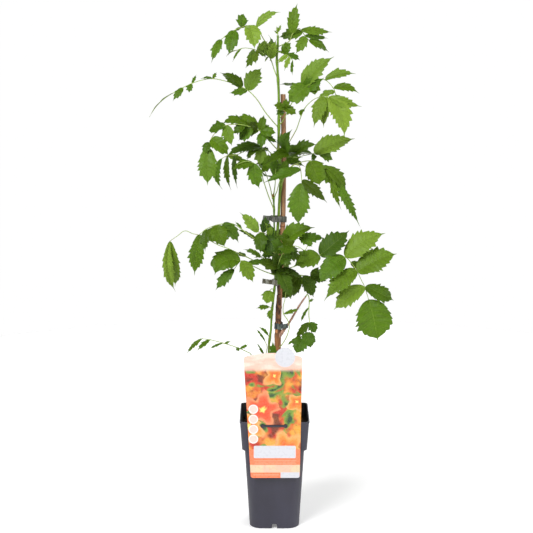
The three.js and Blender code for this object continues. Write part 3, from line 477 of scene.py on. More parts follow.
def shade_property(name, description, red, green, blue):
    return bpy.props.FloatVectorProperty(
        name=name, description=description, subtype="COLOR", size=3, min=0, max=1,
        default=color(red, green, blue),
    )


def length_property(name, description, millimetres):
    return bpy.props.FloatProperty(
        name=name, description=description, default=millimetres * MM, min=0, unit="LENGTH", precision=5
    )


# ---- settings -------------------------------------------------------------------------------------
class VinePotSettings(bpy.types.PropertyGroup):
    """The nursery pot."""

    wall: length_property("Wall", "Thickness of the pot's wall", 1.5)
    lip: length_property("Lip", "How far the rolled lip stands out from the wall", 0.5)
    plastic: shade_property("Plastic", "Colour of the moulded plastic", 46, 45, 58)
    dust: shade_property("Dust", "Colour of the dry dust on it", 78, 76, 87)


class VineSoilSettings(bpy.types.PropertyGroup):
    """The potting mix."""

    bits: bpy.props.IntProperty(
        name="Bits", description="Number of loose bits of bark and grit", default=320, min=0
    )
    lump: length_property("Lump", "Height of the lumps", 2.4)
    peat: shade_property("Peat", "Colour of the damp mix", 52, 37, 26)
    bark: shade_property("Bark", "Colour of the bark bits", 92, 60, 38)
    grit: shade_property("Grit", "Colour of the pale grit", 205, 198, 184)


class VineLabelSettings(bpy.types.PropertyGroup):
    """The hang label."""

    coral: shade_property("Coral", "Colour of the lower band", 244, 122, 80)
    peach: shade_property("Peach", "Colour of the pale upper band", 241, 184, 166)
    sheet: shade_property("Sheet", "Colour of the bare sheet", 200, 201, 207)


class VineWoodSettings(bpy.types.PropertyGroup):
    """The bamboo cane and the old wood."""

    cane_radius: length_property("Cane radius", "Radius of the bamboo cane", 4.3)
    bamboo: shade_property("Bamboo", "Colour of the weathered bamboo", 156, 112, 76)
    bark: shade_property("Bark", "Colour of the old bark", 98, 66, 44)


class VineStemSettings(bpy.types.PropertyGroup):
    """The green stems."""

    swelling: length_property("Swelling", "How far a stem swells where a leaf joins it", 0.55)
    green: shade_property("Green", "Colour of the main stem", 106, 138, 40)
    pale: shade_property("Pale", "Colour of the thin front stem", 96, 130, 30)


class VineTieSettings(bpy.types.PropertyGroup):
    """The soft ties."""

    height: length_property("Height", "Width of the tape", 10)
    thickness: length_property("Thickness", "Thickness of the tape", 0.8)


class VineLeafSettings(bpy.types.PropertyGroup):
    """The leaves."""

    thickness: length_property("Thickness", "Thickness of a leaflet", 0.35)
    tooth: bpy.props.FloatProperty(
        name="Tooth", description="Height of a tooth as a share of the leaflet's width", default=0.13,
        min=0, subtype="FACTOR",
    )
    upper: shade_property("Upper side", "Colour of the upper side", 71, 103, 7)
    under: shade_property("Underside", "Colour of the underside", 110, 131, 46)
    stalk: shade_property("Stalk", "Colour of the stalks", 148, 172, 84)


class VineStageSettings(bpy.types.PropertyGroup):
    """The floor and the lights."""

    floor: shade_property("Floor", "Colour of the floor", 246, 246, 246)
    key: bpy.props.FloatProperty(
        name="Key", description="Power of the key light in watts", default=82, min=0, unit="POWER"
    )
    sky: bpy.props.FloatProperty(
        name="Sky", description="Strength of the even light from all sides", default=0.19, min=0
    )


SETTINGS = {
    "vine_pot": VinePotSettings,
    "vine_soil": VineSoilSettings,
    "vine_label": VineLabelSettings,
    "vine_wood": VineWoodSettings,
    "vine_stem": VineStemSettings,
    "vine_tie": VineTieSettings,
    "vine_leaf": VineLeafSettings,
    "vine_stage": VineStageSettings,
}


# ---- materials ------------------------------------------------------------------------------------
class Finish:
    """A node material. Each call adds a node and gives back the socket that the next call takes."""

    def __init__(self, name, roughness=0.5, **uniform):
        self.material = bpy.data.materials.new(name)
        self.material.use_nodes = True
        self.tree = self.material.node_tree
        self.shader = self.tree.nodes["Principled BSDF"]
        self.shader.inputs["Roughness"].default_value = roughness
        for socket, value in uniform.items():
            self.shader.inputs[socket.replace("_", " ")].default_value = value

    def node(self, kind, output=0, inputs=(), **settings):
        node = self.tree.nodes.new("ShaderNode" + kind)
        for setting, value in settings.items():
            setattr(node, setting, value)
        for socket, value in dict(inputs).items():
            if isinstance(value, bpy.types.NodeSocket):
                self.tree.links.new(value, node.inputs[socket])
            elif value is not None:
                node.inputs[socket].default_value = value
        return node.outputs[output]

    def math(self, operation, *values, clamp=False):
        return self.node("Math", inputs=enumerate(values), operation=operation, use_clamp=clamp)

    def place(self, scale=(1, 1, 1)):
        """The surface's own coordinates, in metres, stretched by a scale."""
        coordinates = self.node("TexCoord", "Object")
        return self.node("Mapping", inputs={"Vector": coordinates, "Scale": scale})

    def height(self):
        """How high the surface stands, in metres."""
        return self.node("SeparateXYZ", "Z", inputs={0: self.place()})

    def noise(self, scale, detail=3, roughness=0.5, at=None, distortion=0):
        """Clouds, mostly between 0.3 and 0.7."""
        return self.node("TexNoise", inputs={
            "Vector": at or self.place(), "Scale": scale, "Detail": detail, "Roughness": roughness,
            "Distortion": distortion,
        })

    def cells(self, scale, at=None, feature="F1"):
        """Distance to the nearest of many scattered points."""
        return self.node("TexVoronoi", "Distance", feature=feature, inputs={
            "Vector": at or self.place(), "Scale": scale,
        })

    def between(self, value, low, high, to_low=0.0, to_high=1.0):
        """A smooth step that a value takes between two numbers."""
        return self.node("MapRange", clamp=True, interpolation_type="SMOOTHSTEP", inputs={
            "Value": value, "From Min": low, "From Max": high, "To Min": to_low, "To Max": to_high,
        })

    def mix(self, share, first, second):
        def full(value):
            return value if isinstance(value, bpy.types.NodeSocket) else (*value[:3], 1)

        return self.node("Mix", 2, data_type="RGBA", inputs={0: share, 6: full(first), 7: full(second)})

    def over(self, body, paint, value, low, high, most=1.0):
        """Paint laid over a body: none where a value is at low, and the most where it is at high."""
        return self.mix(self.between(value, low, high, 0, most), body, paint)

    def bump(self, height, distance, strength=1.0, normal=None):
        return self.node("Bump", inputs={
            "Height": height, "Distance": distance, "Strength": strength, "Normal": normal,
        })

    def rough(self, cloud, low, high):
        """A roughness that follows clouds between two numbers."""
        return self.between(cloud, 0.3, 0.7, low, high)

    def wear(self, body, rough, normal=None):
        """Joins its colour, roughness and normal to the shader and gives back the finished material."""
        for name, socket in (("Base Color", body), ("Roughness", rough), ("Normal", normal)):
            if socket:
                self.tree.links.new(socket, self.shader.inputs[name])
        return self.material


def scaled(rgb, amount):
    return tuple(min(c * amount, 1) for c in rgb)


def pot_plastic(pot):
    """Satin moulded plastic with faint flow marks, scuffs and dry dust."""
    finish = Finish("pot_plastic", roughness=0.46)
    marks = finish.noise(60, detail=4, at=finish.place((1, 1, 0.12)))
    cloud = finish.noise(14, detail=5, roughness=0.6)
    grain = finish.noise(2600, detail=2)
    dark, light = scaled(pot.plastic, 0.86), scaled(pot.plastic, 1.14)
    body = finish.over(dark, light, cloud, 0.35, 0.7)
    body = finish.over(body, scaled(pot.plastic, 1.3), marks, 0.45, 0.75, 0.3)
    low = finish.between(finish.height(), 0.05, 0.0, 0, 0.5)
    spots = finish.between(finish.noise(420, detail=6, roughness=0.75), 0.6, 0.75)
    dust = finish.math("MULTIPLY", spots, finish.math("ADD", low, 0.18), clamp=True)
    body = finish.mix(dust, body, pot.dust)
    normal = finish.bump(grain, 0.00006, 0.5)
    normal = finish.bump(marks, 0.0006, 0.35, normal)
    return finish.wear(body, finish.rough(cloud, 0.4, 0.56), normal)


def inner_plastic_painted_shade(pot):
    """The inside of the pot: its plastic darkened as painted shade, with smears of the mix."""
    finish = Finish("inner_plastic_painted_shade", roughness=0.6)
    smears = finish.noise(90, detail=6, roughness=0.7, at=finish.place((1, 1, 0.4)))
    # Painted shade: the same plastic as outside, darkened to stand for the shadow inside the pot.
    dark, light = scaled(pot.plastic, 0.05), scaled(pot.plastic, 0.2)
    body = finish.over(dark, light, smears, 0.35, 0.7)
    return finish.wear(body, finish.rough(smears, 0.5, 0.75), finish.bump(smears, 0.0003))


def potting_mix(soil):
    """Damp crumbly peat."""
    finish = Finish("potting_mix", roughness=0.92)
    crumbs = finish.noise(420, detail=8, roughness=0.75)
    fibre = finish.noise(160, detail=5, at=finish.place((1, 0.3, 1)), distortion=1.5)
    body = finish.over(scaled(soil.peat, 0.4), scaled(soil.peat, 1.5), crumbs, 0.35, 0.68)
    body = finish.over(body, soil.bark, fibre, 0.55, 0.7, 0.6)
    return finish.wear(body, finish.rough(fibre, 0.8, 0.97), finish.bump(crumbs, 0.0022))


def loose_bits(name, tone):
    """Bark chips and grit, each flecked and rough."""
    finish = Finish(name, roughness=0.85)
    flecks = finish.noise(900, detail=6, roughness=0.7)
    body = finish.over(scaled(tone, 0.55), scaled(tone, 1.25), flecks, 0.3, 0.7)
    return finish.wear(body, finish.rough(flecks, 0.7, 0.95), finish.bump(flecks, 0.0006))


def bamboo_skin(wood):
    """Weathered bamboo: long fibres, grey weathering and darker rings below each node."""
    finish = Finish("bamboo_skin", roughness=0.5)
    fibres = finish.noise(900, detail=4, roughness=0.6, at=finish.place((1, 1, 0.03)))
    broad = finish.noise(190, detail=3, at=finish.place((1, 1, 0.12)), distortion=0.6)
    dark, light = scaled(wood.bamboo, 0.68), scaled(wood.bamboo, 1.18)
    body = finish.over(dark, light, fibres, 0.35, 0.7)
    body = finish.over(body, color(196, 158, 122), broad, 0.5, 0.66, 0.8)
    body = finish.over(body, color(88, 60, 44), broad, 0.44, 0.3, 0.75)
    height = finish.height()
    body = finish.over(body, color(176, 104, 56), height, 0.56, 0.4, 0.45)
    for node in CANE_NODES:
        off = finish.math("ABSOLUTE", finish.math("SUBTRACT", height, node * MM))
        body = finish.over(body, color(186, 112, 62), off, 0.009, 0.001, 0.5)
        body = finish.over(body, color(84, 52, 34), off, 0.0022, 0.0004, 0.75)
    return finish.wear(body, finish.rough(fibres, 0.4, 0.62), finish.bump(fibres, 0.00035, 0.7))


def bamboo_pith(wood):
    """The pale cut end."""
    finish = Finish("bamboo_pith", roughness=0.8)
    pores = finish.cells(2600)
    body = finish.over(color(120, 92, 66), color(206, 180, 146), pores, 0.15, 0.5)
    return finish.wear(body, finish.between(pores, 0.1, 0.6, 0.7, 0.9), finish.bump(pores, 0.0002))


def old_bark(wood):
    """Flaking brown bark with tan and maroon streaks that run round the stem, tan at its foot and darkened
    at its top as painted shade.
    """
    finish = Finish("old_bark", roughness=0.82)
    flakes = finish.noise(330, detail=8, roughness=0.72, at=finish.place((1, 1, 0.22)), distortion=0.8)
    streaks = finish.noise(120, detail=3, at=finish.place((1, 1, 0.35)), distortion=1.2)
    body = finish.over(scaled(wood.bark, 0.42), scaled(wood.bark, 1.5), flakes, 0.33, 0.66)
    body = finish.over(body, color(200, 138, 84), streaks, 0.54, 0.64, 0.85)
    body = finish.over(body, color(66, 30, 24), streaks, 0.44, 0.32, 0.8)
    height = finish.height()
    # Painted shade: darker from 0.352 m up, where the leaves hang over the old wood.
    body = finish.over(body, color(58, 32, 24), height, 0.352, 0.372, 0.58)
    body = finish.over(body, color(176, 116, 66), height, 0.35, 0.33, 0.55)
    return finish.wear(body, finish.rough(flakes, 0.7, 0.92), finish.bump(flakes, 0.0012))


def dry_twig():
    """Smooth pinkish brown bark with pale dots."""
    finish = Finish("dry_twig", roughness=0.62)
    length = finish.noise(260, detail=5, at=finish.place((1, 1, 0.3)))
    dots = finish.cells(620)
    body = finish.over(color(124, 84, 66), color(188, 146, 122), length, 0.32, 0.68)
    body = finish.over(body, color(214, 186, 160), dots, 0.16, 0.05, 0.7)
    return finish.wear(body, finish.rough(length, 0.52, 0.72), finish.bump(length, 0.0003))


def stem_skin(name, tone, blush, bark_and_shade_ends=None):
    """Smooth ribbed stem, blushed brown in places, with pale pores.

    Where they are given, dark bark runs up from its foot and ends between two heights; it is partly painted
    shade, standing for the shade under the leaves.
    """
    finish = Finish(name, roughness=0.48, Specular_IOR_Level=0.3)
    ribs = finish.noise(700, detail=3, at=finish.place((1, 1, 0.02)))
    cloud = finish.noise(36, detail=4, at=finish.place((1, 1, 0.5)))
    pores = finish.cells(900, at=finish.place((1, 1, 0.4)))
    body = finish.over(scaled(tone, 0.72), scaled(tone, 1.2), ribs, 0.35, 0.68)
    body = finish.over(body, blush, cloud, 0.5, 0.72, 0.55)
    body = finish.over(body, scaled(tone, 1.9), pores, 0.13, 0.04, 0.6)
    if bark_and_shade_ends:
        # Dark bark, which is partly painted shade.
        bark = finish.over(color(44, 26, 18), color(104, 72, 44), ribs, 0.35, 0.65)
        body = finish.over(body, bark, finish.height(), *reversed(bark_and_shade_ends))
    return finish.wear(body, finish.rough(cloud, 0.4, 0.58), finish.bump(ribs, 0.0003, 0.6))


def soft_tape(name, tone, painted_sheen):
    """Soft plastic tape, creased across, with a dull shine and a painted sheen on its creases."""
    finish = Finish(name, roughness=0.5)
    creases = finish.noise(300, detail=5, at=finish.place((1, 1, 0.25)), distortion=0.5)
    # Painted sheen: the creases are lightened towards a highlight colour.
    body = finish.over(scaled(tone, 0.7), painted_sheen, creases, 0.38, 0.7)
    return finish.wear(body, finish.rough(creases, 0.38, 0.6), finish.bump(creases, 0.0006))


VEIN_REACH = 1.2  # how many teeth forward a side vein runs on its way to the margin
TOOTH_POINT = 0.8  # where in its own stretch of margin a tooth has its point
MOST_TEETH = 16  # a leaflet's number of teeth is kept as a share of this


def leaf_skin(name, tone, light, vein, under):
    """A leaflet's surface: midrib, side veins, net veins, patches of lighter and darker green, and painted
    shade along the veins.

    The piece's UV map runs along and across each leaflet, and its tint attribute holds how pale the
    leaflet is, which is partly painted light and shade, its hue and its number of teeth.
    """
    finish = Finish(name, roughness=0.5, Specular_IOR_Level=0.16)
    uv = finish.node("UVMap", uv_map="leaflet")
    along = finish.node("SeparateXYZ", "X", inputs={0: uv})
    across = finish.node("SeparateXYZ", "Y", inputs={0: uv})
    tint = finish.node("Attribute", attribute_name="tint")
    pale, hue, teeth = (
        finish.node("SeparateColor", channel, inputs={0: tint}) for channel in ("Red", "Green", "Blue")
    )
    off = finish.math("ABSOLUTE", finish.math("MULTIPLY_ADD", across, 2.0, -1.0))
    count = finish.math("MULTIPLY", along, finish.math("MULTIPLY", teeth, float(MOST_TEETH)))
    count = finish.math("SUBTRACT", count, finish.math("MULTIPLY", off, VEIN_REACH))
    count = finish.math("ADD", count, VEIN_REACH - TOOTH_POINT + 0.5)
    middle = finish.math("ABSOLUTE", finish.math("SUBTRACT", finish.math("FRACT", count), 0.5))
    midrib = finish.between(off, 0.05, 0.012)
    side_vein = finish.math("MULTIPLY", finish.between(middle, 0.05, 0.012), finish.between(off, 1.0, 0.7))
    patches = finish.noise(46, detail=4, roughness=0.6)
    fine = finish.noise(420, detail=3)
    net = finish.cells(620, feature="DISTANCE_TO_EDGE")
    body = finish.over(scaled(tone, 0.82), scaled(tone, 1.18), patches, 0.3, 0.72)
    # Painted light and shade of the quilting: lighter between the side veins, darker along them.
    body = finish.over(body, scaled(tone, 1.3), middle, 0.1, 0.5, 0.35)
    body = finish.over(body, light, fine, 0.4, 0.75, 0.2)
    # Painted shade along the net veins.
    body = finish.over(body, scaled(tone, 0.6), net, 0.08, 0.0, 0.22)
    # Painted light and shade by leaflet: a low pale number darkens it towards a third of the tone, a high
    # one lightens it towards the light green.
    body = finish.over(body, scaled(tone, 0.36), pale, 0.5, 0.0, 0.95)
    body = finish.over(body, light, pale, 0.5, 1.0, 0.85)
    body = finish.over(body, color(150, 150, 30), hue, 0.5, 1.0, 0.05)
    body = finish.over(body, color(50, 96, 40), hue, 0.5, 0.0, 0.14)
    body = finish.mix(finish.math("MULTIPLY", side_vein, 0.5 if under else 0.26), body, vein)
    body = finish.mix(finish.math("MULTIPLY", midrib, 0.8 if under else 0.2), body, vein)
    ridge = finish.math("MAXIMUM", midrib, side_vein)
    height = finish.math("MULTIPLY", ridge, 1.0 if under else -1.0)
    normal = finish.bump(height, 0.0006, 0.8)
    normal = finish.bump(net, 0.0005, 0.2, normal)
    rough = finish.rough(patches, 0.6 if under else 0.42, 0.75 if under else 0.58)
    return finish.wear(body, rough, normal)


# ---- mesh work ------------------------------------------------------------------------------------
def on_route(points, at):
    """The point of a smooth curve through the points, counted in points from the first."""
    start = min(int(at), len(points) - 2)
    share = at - start
    first, second = points[start], points[start + 1]
    before = points[start - 1] if start else first * 2 - second
    after = points[start + 2] if start + 2 < len(points) else second * 2 - first
    straight = 2 * first + (second - before) * share
    bend = (2 * before - 5 * first + 4 * second - after) * share**2
    return 0.5 * (straight + bend + (3 * first - before - 3 * second + after) * share**3)


def on_list(values, at):
    """The value between two neighbours of a list, counted as on_route counts."""
    start = min(int(at), len(values) - 2)
    return values[start] + (values[start + 1] - values[start]) * (at - start)


def route(places, parts):
    """Where to stand along a route of places, counted in places, with some parts between each two."""
    count = (len(places) - 1) * parts
    return [index / parts for index in range(count + 1)]


def frames(points):
    """A frame at each point, its Z along the curve, that doesn't turn about it."""
    ways = [(end - start).normalized() for start, end in zip(points, points[1:])]
    tangents = [ways[0], *((a + b).normalized() for a, b in zip(ways, ways[1:])), ways[-1]]
    turn = UP.rotation_difference(tangents[0])
    placed = []
    for index, (point, tangent) in enumerate(zip(points, tangents)):
        if index:
            turn = tangents[index - 1].rotation_difference(tangent) @ turn
        placed.append(Matrix.Translation(point) @ turn.to_matrix().to_4x4())
    return placed


def stretched(frame, x, y):
    return frame @ Matrix.Diagonal((x, y, 1, 1))


def swept(bm, ring, steps, material=0, reshape=None):
    """Draws a capped ring that stands at the first step through the others and caps the last.

    Where it is given, reshape takes the number of a step and its ring, to change the ring.
    """
    edges = list({edge for vert in ring for edge in vert.link_edges})
    faces = {face for edge in edges for face in edge.link_faces}
    for index, (start, end) in enumerate(zip(steps, steps[1:]), 1):
        made = bmesh.ops.extrude_edge_only(bm, edges=edges)["geom"]
        ring = {part for part in made if isinstance(part, bmesh.types.BMVert)}
        faces.update(part for part in made if isinstance(part, bmesh.types.BMFace))
        edges = [
            part for part in made if isinstance(part, bmesh.types.BMEdge) and ring.issuperset(part.verts)
        ]
        bmesh.ops.transform(bm, matrix=end @ start.inverted(), verts=list(ring))
        if reshape:
            reshape(index, ring)
    faces.update(bmesh.ops.edgeloop_fill(bm, edges=edges)["faces"])
    faces = list(faces)
    bmesh.ops.recalc_face_normals(bm, faces=faces)
    for face in faces:
        face.material_index = material
        face.smooth = True
    return faces


def tube(bm, points, radii, sides, material=0):
    """A round tube through the points, with a radius for each."""
    steps = [stretched(frame, radius, radius) for frame, radius in zip(frames(points), radii)]
    ring = bmesh.ops.create_circle(bm, cap_ends=True, segments=sides, radius=1, matrix=steps[0])["verts"]
    return swept(bm, ring, steps, material)


def grown(bm, places, radii, parts, sides, material=0):
    """A round tube along the smooth curve through some places, with a radius in mm for each place."""
    points = [place(*spot) for spot in places]
    ats = route(places, parts)
    curve = [on_route(points, at) for at in ats]
    return tube(bm, curve, [on_list(radii, at) * MM for at in ats], sides, material)


def squared(bm, profile):
    """A solid through a square profile with rounded corners, given as (half width, height) in mm."""
    steps = [stretched(Matrix.Translation((0, 0, z * MM)), half * MM, half * MM) for half, z in profile]
    shares = [DRAWN_CORNER, *(min(corner_radius(z) / half, 0.9) for half, z in profile)]
    verts = bmesh.ops.create_grid(bm, x_segments=1, y_segments=1, size=1)["verts"]
    bmesh.ops.bevel(
        bm, geom=verts, affect="VERTICES", offset=DRAWN_CORNER, segments=CORNER_SEGMENTS, profile=0.5,
        material=-1,
    )
    ring = list(bm.verts)
    bmesh.ops.transform(bm, matrix=steps[0], verts=ring)

    def corners(index, ring):
        """Gives the ring of a step its own corners, from those of the step before."""
        half, old, new = profile[index][0] * MM, shares[index], shares[index + 1]
        for vert in ring:
            for axis in range(2):
                turned = (abs(vert.co[axis]) / half - 1 + old) / old
                vert.co[axis] = math.copysign(half * (1 - new + new * turned), vert.co[axis])

    corners(0, ring)
    return swept(bm, ring, steps, reshape=corners)


def new_object(bm, name, materials=()):
    mesh = bpy.data.meshes.new(name)
    bm.to_mesh(mesh)
    bm.free()
    for material in materials:
        mesh.materials.append(material)
    made = bpy.data.objects.new(name, mesh)
    bpy.context.scene.collection.objects.link(made)
    return made


def combine(piece, tool, operation="DIFFERENCE"):
    """Cuts a piece with a tool, or joins them, and removes the tool."""
    modifier = piece.modifiers.new("combine", "BOOLEAN")
    modifier.operation = operation
    modifier.object = tool
    modifier.solver = "EXACT"
    whole = piece.evaluated_get(bpy.context.evaluated_depsgraph_get())
    mesh = bpy.data.meshes.new_from_object(whole)
    piece.modifiers.clear()
    piece.data = mesh
    bpy.data.objects.remove(tool)


def seat(piece, node):
    """Makes a piece stand for a node of the frame, in the same place."""
    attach(piece, "root")
    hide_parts(node)


def sharpen(piece, degrees):
    """Smooth shading that breaks at edges sharper than an angle."""
    piece.data.shade_smooth()
    piece.data.set_sharp_from_angle(angle=math.radians(degrees))


def bar_tool(length, bar, knob, back, front):
    """A bar with a round knob at each end, lying along X at the label's lug between two upright planes."""
    depth = (back - front) * MM
    middle = Matrix.Translation((LUG_X * MM, (back + front) / 2 * MM, LUG_Z * MM))
    bm = bmesh.new()
    size = Matrix.Diagonal(((length - 2 * knob) * MM, depth, bar * MM, 1))
    bmesh.ops.create_cube(bm, size=1, matrix=middle @ size)
    tool = new_object(bm, "bar")
    for end in (-1, 1):
        bm = bmesh.new()
        shift = Matrix.Translation((end * (length / 2 - knob) * MM, 0, 0))
        disc(bm, knob, depth, middle @ shift @ TO_FRONT)
        combine(tool, new_object(bm, "knob"), "UNION")
    return tool


def disc(bm, radius, depth, matrix):
    """A flat disc round the Z axis of a matrix."""
    bmesh.ops.create_cone(
        bm, cap_ends=True, segments=32, radius1=radius * MM, radius2=radius * MM, depth=depth,
        matrix=matrix,
    )


# ---- pot, soil and label --------------------------------------------------------------------------
POT_FOOT_CORNER = 22  # radius of the rounded corners at the foot
POT_RIM_CORNER = 7  # and at the rim
DRAWN_CORNER = 0.5  # the corners of the first square ring, as a share of its half width
CORNER_SEGMENTS = 10
POT_FOOT_HALF = 44
POT_BODY_HALF = 52.2
POT_STEP_HALF = 56.6
POT_TOP_HALF = 60
POT_HEIGHT = 200
BAND_FOOT = 148
POT_FLOOR = 9.5
FLOOR_TOP = 11.5
NOTCH_WIDTH = 8
NOTCH_HEIGHT = 8.5
NOTCH_ROUNDING = 1.6
NOTCH_FLARE = 0.35  # how much wider the notch gets over its own height below the roof
DRAIN_RADIUS = 4
DRAIN_REACH = 27  # drain holes stand this far from the middle along X and Y
LUG_X = -1
LUG_Z = 194
LUG_LENGTH = 46
LUG_BAR = 3
LUG_KNOB = 3.2
LUG_ROOT = -58.6
LUG_FRONT = -62.8
SOIL_TOP = 176
SOIL_CROWN = 5  # how much higher the soil stands in the middle
SOIL_EDGE = 1.5  # and how much lower it lies along the wall
SOIL_RINGS = 26
SOIL_CUTS = 20  # cuts across each flat edge of the soil's top
BITS_REACH = 0.93  # share of the top, from the middle out, that the loose bits lie on
BARK_SHARE = 0.86  # share of the bits that are bark, and the rest is grit
GAP = 0.35  # clearance between pieces that touch


def corner_radius(z):
    """The pot's corners are tighter the higher they are."""
    return POT_FOOT_CORNER + (POT_RIM_CORNER - POT_FOOT_CORNER) * z / POT_HEIGHT


def pot_profile(wall, lip):
    """Half widths and heights from the floor's underside out to the foot, up the wall and back inside."""
    return [
        (POT_FOOT_HALF - 2, POT_FLOOR), (POT_FOOT_HALF - 2.3, 0.8), (POT_FOOT_HALF - 1.7, 0),
        (POT_FOOT_HALF - 0.6, 0), (POT_FOOT_HALF, 0.7),
        (POT_BODY_HALF - 0.4, BAND_FOOT - 5), (POT_BODY_HALF, BAND_FOOT - 2.6),
        (POT_BODY_HALF + 0.7, BAND_FOOT - 1.9), (POT_STEP_HALF - 0.8, BAND_FOOT - 1.2),
        (POT_STEP_HALF - 0.1, BAND_FOOT - 0.6), (POT_STEP_HALF + 0.1, BAND_FOOT + 0.6),
        (POT_TOP_HALF - 0.3, POT_HEIGHT - 4), (POT_TOP_HALF + lip - 0.3, POT_HEIGHT - 3.2),
        (POT_TOP_HALF + lip, POT_HEIGHT - 2.4), (POT_TOP_HALF + lip, POT_HEIGHT - 0.7),
        (POT_TOP_HALF + lip - 0.6, POT_HEIGHT), (POT_TOP_HALF - wall + 0.4, POT_HEIGHT),
        (POT_TOP_HALF - wall, POT_HEIGHT - 0.5), (POT_STEP_HALF - wall, BAND_FOOT + 2.5),
        (POT_STEP_HALF - wall - 0.8, BAND_FOOT + 1.4), (POT_BODY_HALF - wall + 0.4, BAND_FOOT + 0.3),
        (POT_BODY_HALF - wall, BAND_FOOT - 1), (POT_FOOT_HALF - wall + 1, FLOOR_TOP + 1),
        (POT_FOOT_HALF - wall - 0.5, FLOOR_TOP),
    ]


def notch_tool(turned):
    """A tunnel through two opposite sides of the foot, its roof rounded and its mouth flared."""
    bm = bmesh.new()
    size = Matrix.Diagonal((NOTCH_WIDTH * MM, 3 * POT_FOOT_HALF * MM, 2 * NOTCH_HEIGHT * MM, 1))
    bmesh.ops.create_cube(bm, size=1, matrix=size)
    roof = [edge for edge in bm.edges if all(vert.co.z > 0 for vert in edge.verts)
            and abs(edge.verts[0].co.y - edge.verts[1].co.y) > POT_FOOT_HALF * MM]
    bmesh.ops.bevel(
        bm, geom=roof, affect="EDGES", offset=NOTCH_ROUNDING * MM, segments=4, profile=0.5, material=-1
    )
    for vert in bm.verts:
        vert.co.x *= 1 + NOTCH_FLARE * max(-vert.co.z / (NOTCH_HEIGHT * MM), 0)
    if turned:
        bmesh.ops.rotate(bm, verts=bm.verts, matrix=Matrix.Rotation(math.radians(90), 3, "Z"))
    return new_object(bm, "notch")


class VINE_OT_pot(bpy.types.Operator):
    """Adds the tall square nursery pot with its notched foot, drain holes and label lug"""

    bl_idname = "vine.add_pot"
    bl_label = "Pot"

    def execute(self, context):
        pot = context.scene.vine_pot
        bm = bmesh.new()
        squared(bm, pot_profile(pot.wall / MM, pot.lip / MM))
        piece = new_object(bm, "pot_moulding", [pot_plastic(pot), inner_plastic_painted_shade(pot)])
        for turned in (False, True):
            combine(piece, notch_tool(turned))
        drains = bmesh.new()
        for x in (-DRAIN_REACH, 0, DRAIN_REACH):
            for y in (-DRAIN_REACH, 0, DRAIN_REACH):
                spot = Matrix.Translation((x * MM, y * MM, POT_FLOOR * MM))
                disc(drains, DRAIN_RADIUS, 10 * MM, spot)
        combine(piece, new_object(drains, "drains"))
        combine(piece, bar_tool(LUG_LENGTH, LUG_BAR, LUG_KNOB, LUG_ROOT, LUG_FRONT), "UNION")
        # Faces inside the pot, above its floor, take the plastic darkened as painted shade.
        for face in piece.data.polygons:
            if face.normal.xy.dot(face.center.xy) < 0 and face.center.z > FLOOR_TOP * MM:
                face.material_index = 1
        sharpen(piece, 32)
        seat(piece, "pot")
        return {"FINISHED"}


def soil_half(z):
    """Half width of the soil at a height above the step."""
    lean = (POT_TOP_HALF - POT_STEP_HALF) / (POT_HEIGHT - BAND_FOOT)
    return POT_STEP_HALF + lean * (z - BAND_FOOT) - 1.5 - GAP


def soil_height(x, y, lump):
    """Height of the lumpy top of the soil, in metres, at a point in metres."""
    reach = min(max(abs(x), abs(y)) / (soil_half(SOIL_TOP) * MM), 1)
    crown = SOIL_CROWN * MM * (1 - reach**2) - SOIL_EDGE * MM * reach**4
    spot = Vector((x, y, 0.1))
    broad = noise.noise(spot * 60) * lump
    fine = noise.noise(spot * 260) * lump * 0.5 + noise.noise(spot * 700) * lump * 0.25
    return SOIL_TOP * MM + crown + (broad + fine) * (1 - 0.5 * reach)


class VINE_OT_soil(bpy.types.Operator):
    """Adds the potting mix with its lumps and loose bits"""

    bl_idname = "vine.add_soil"
    bl_label = "Soil"

    def execute(self, context):
        soil = context.scene.vine_soil
        wall = context.scene.vine_pot.wall / MM + GAP
        top_half = soil_half(SOIL_TOP)
        profile = [
            (POT_FOOT_HALF - wall, FLOOR_TOP + GAP), (POT_BODY_HALF - wall, BAND_FOOT - 1),
            (POT_STEP_HALF - wall, BAND_FOOT + 3), (top_half, SOIL_TOP - 3),
        ]
        profile += [(top_half * (1 - ring / SOIL_RINGS), SOIL_TOP) for ring in range(SOIL_RINGS)]
        bm = bmesh.new()
        squared(bm, profile)
        top = [face for face in bm.faces if all(vert.co.z > (SOIL_TOP - 1) * MM for vert in face.verts)]
        flat = list({edge for face in top for edge in face.edges if edge.calc_length() > 3 * MM})
        bmesh.ops.subdivide_edges(bm, edges=flat, cuts=SOIL_CUTS, use_grid_fill=True)
        for vert in bm.verts:
            if vert.co.z > (SOIL_TOP - 1) * MM:
                vert.co.z = soil_height(vert.co.x, vert.co.y, soil.lump)
        draw = random.Random("bits")
        for bit in range(soil.bits):
            x, y = (draw.uniform(-BITS_REACH, BITS_REACH) * top_half * MM for axis in range(2))
            kind = 1 if draw.random() < BARK_SHARE else 2
            size = draw.uniform(1.2, 3.4) if kind == 1 else draw.uniform(0.6, 1.3)
            turn = Quaternion([draw.gauss(0, 1) for axis in range(4)]).normalized().to_matrix().to_4x4()
            shape = Matrix.Diagonal((size * MM, size * draw.uniform(0.5, 0.9) * MM,
                                     size * draw.uniform(0.25, 0.7) * MM, 1))
            spot = Matrix.Translation((x, y, soil_height(x, y, soil.lump) + size * 0.15 * MM))
            made = bmesh.ops.create_icosphere(bm, subdivisions=1, radius=1, matrix=spot @ turn @ shape)
            for vert in made["verts"]:
                vert.co += Vector([draw.uniform(-1, 1) for axis in range(3)]) * size * 0.12 * MM
                for face in vert.link_faces:
                    face.material_index = kind
        piece = new_object(bm, "potting_mix", [
            potting_mix(soil), loose_bits("bark_bits", soil.bark), loose_bits("pale_grit", soil.grit),
        ])
        sharpen(piece, 50)
        seat(piece, "soil")
        return {"FINISHED"}


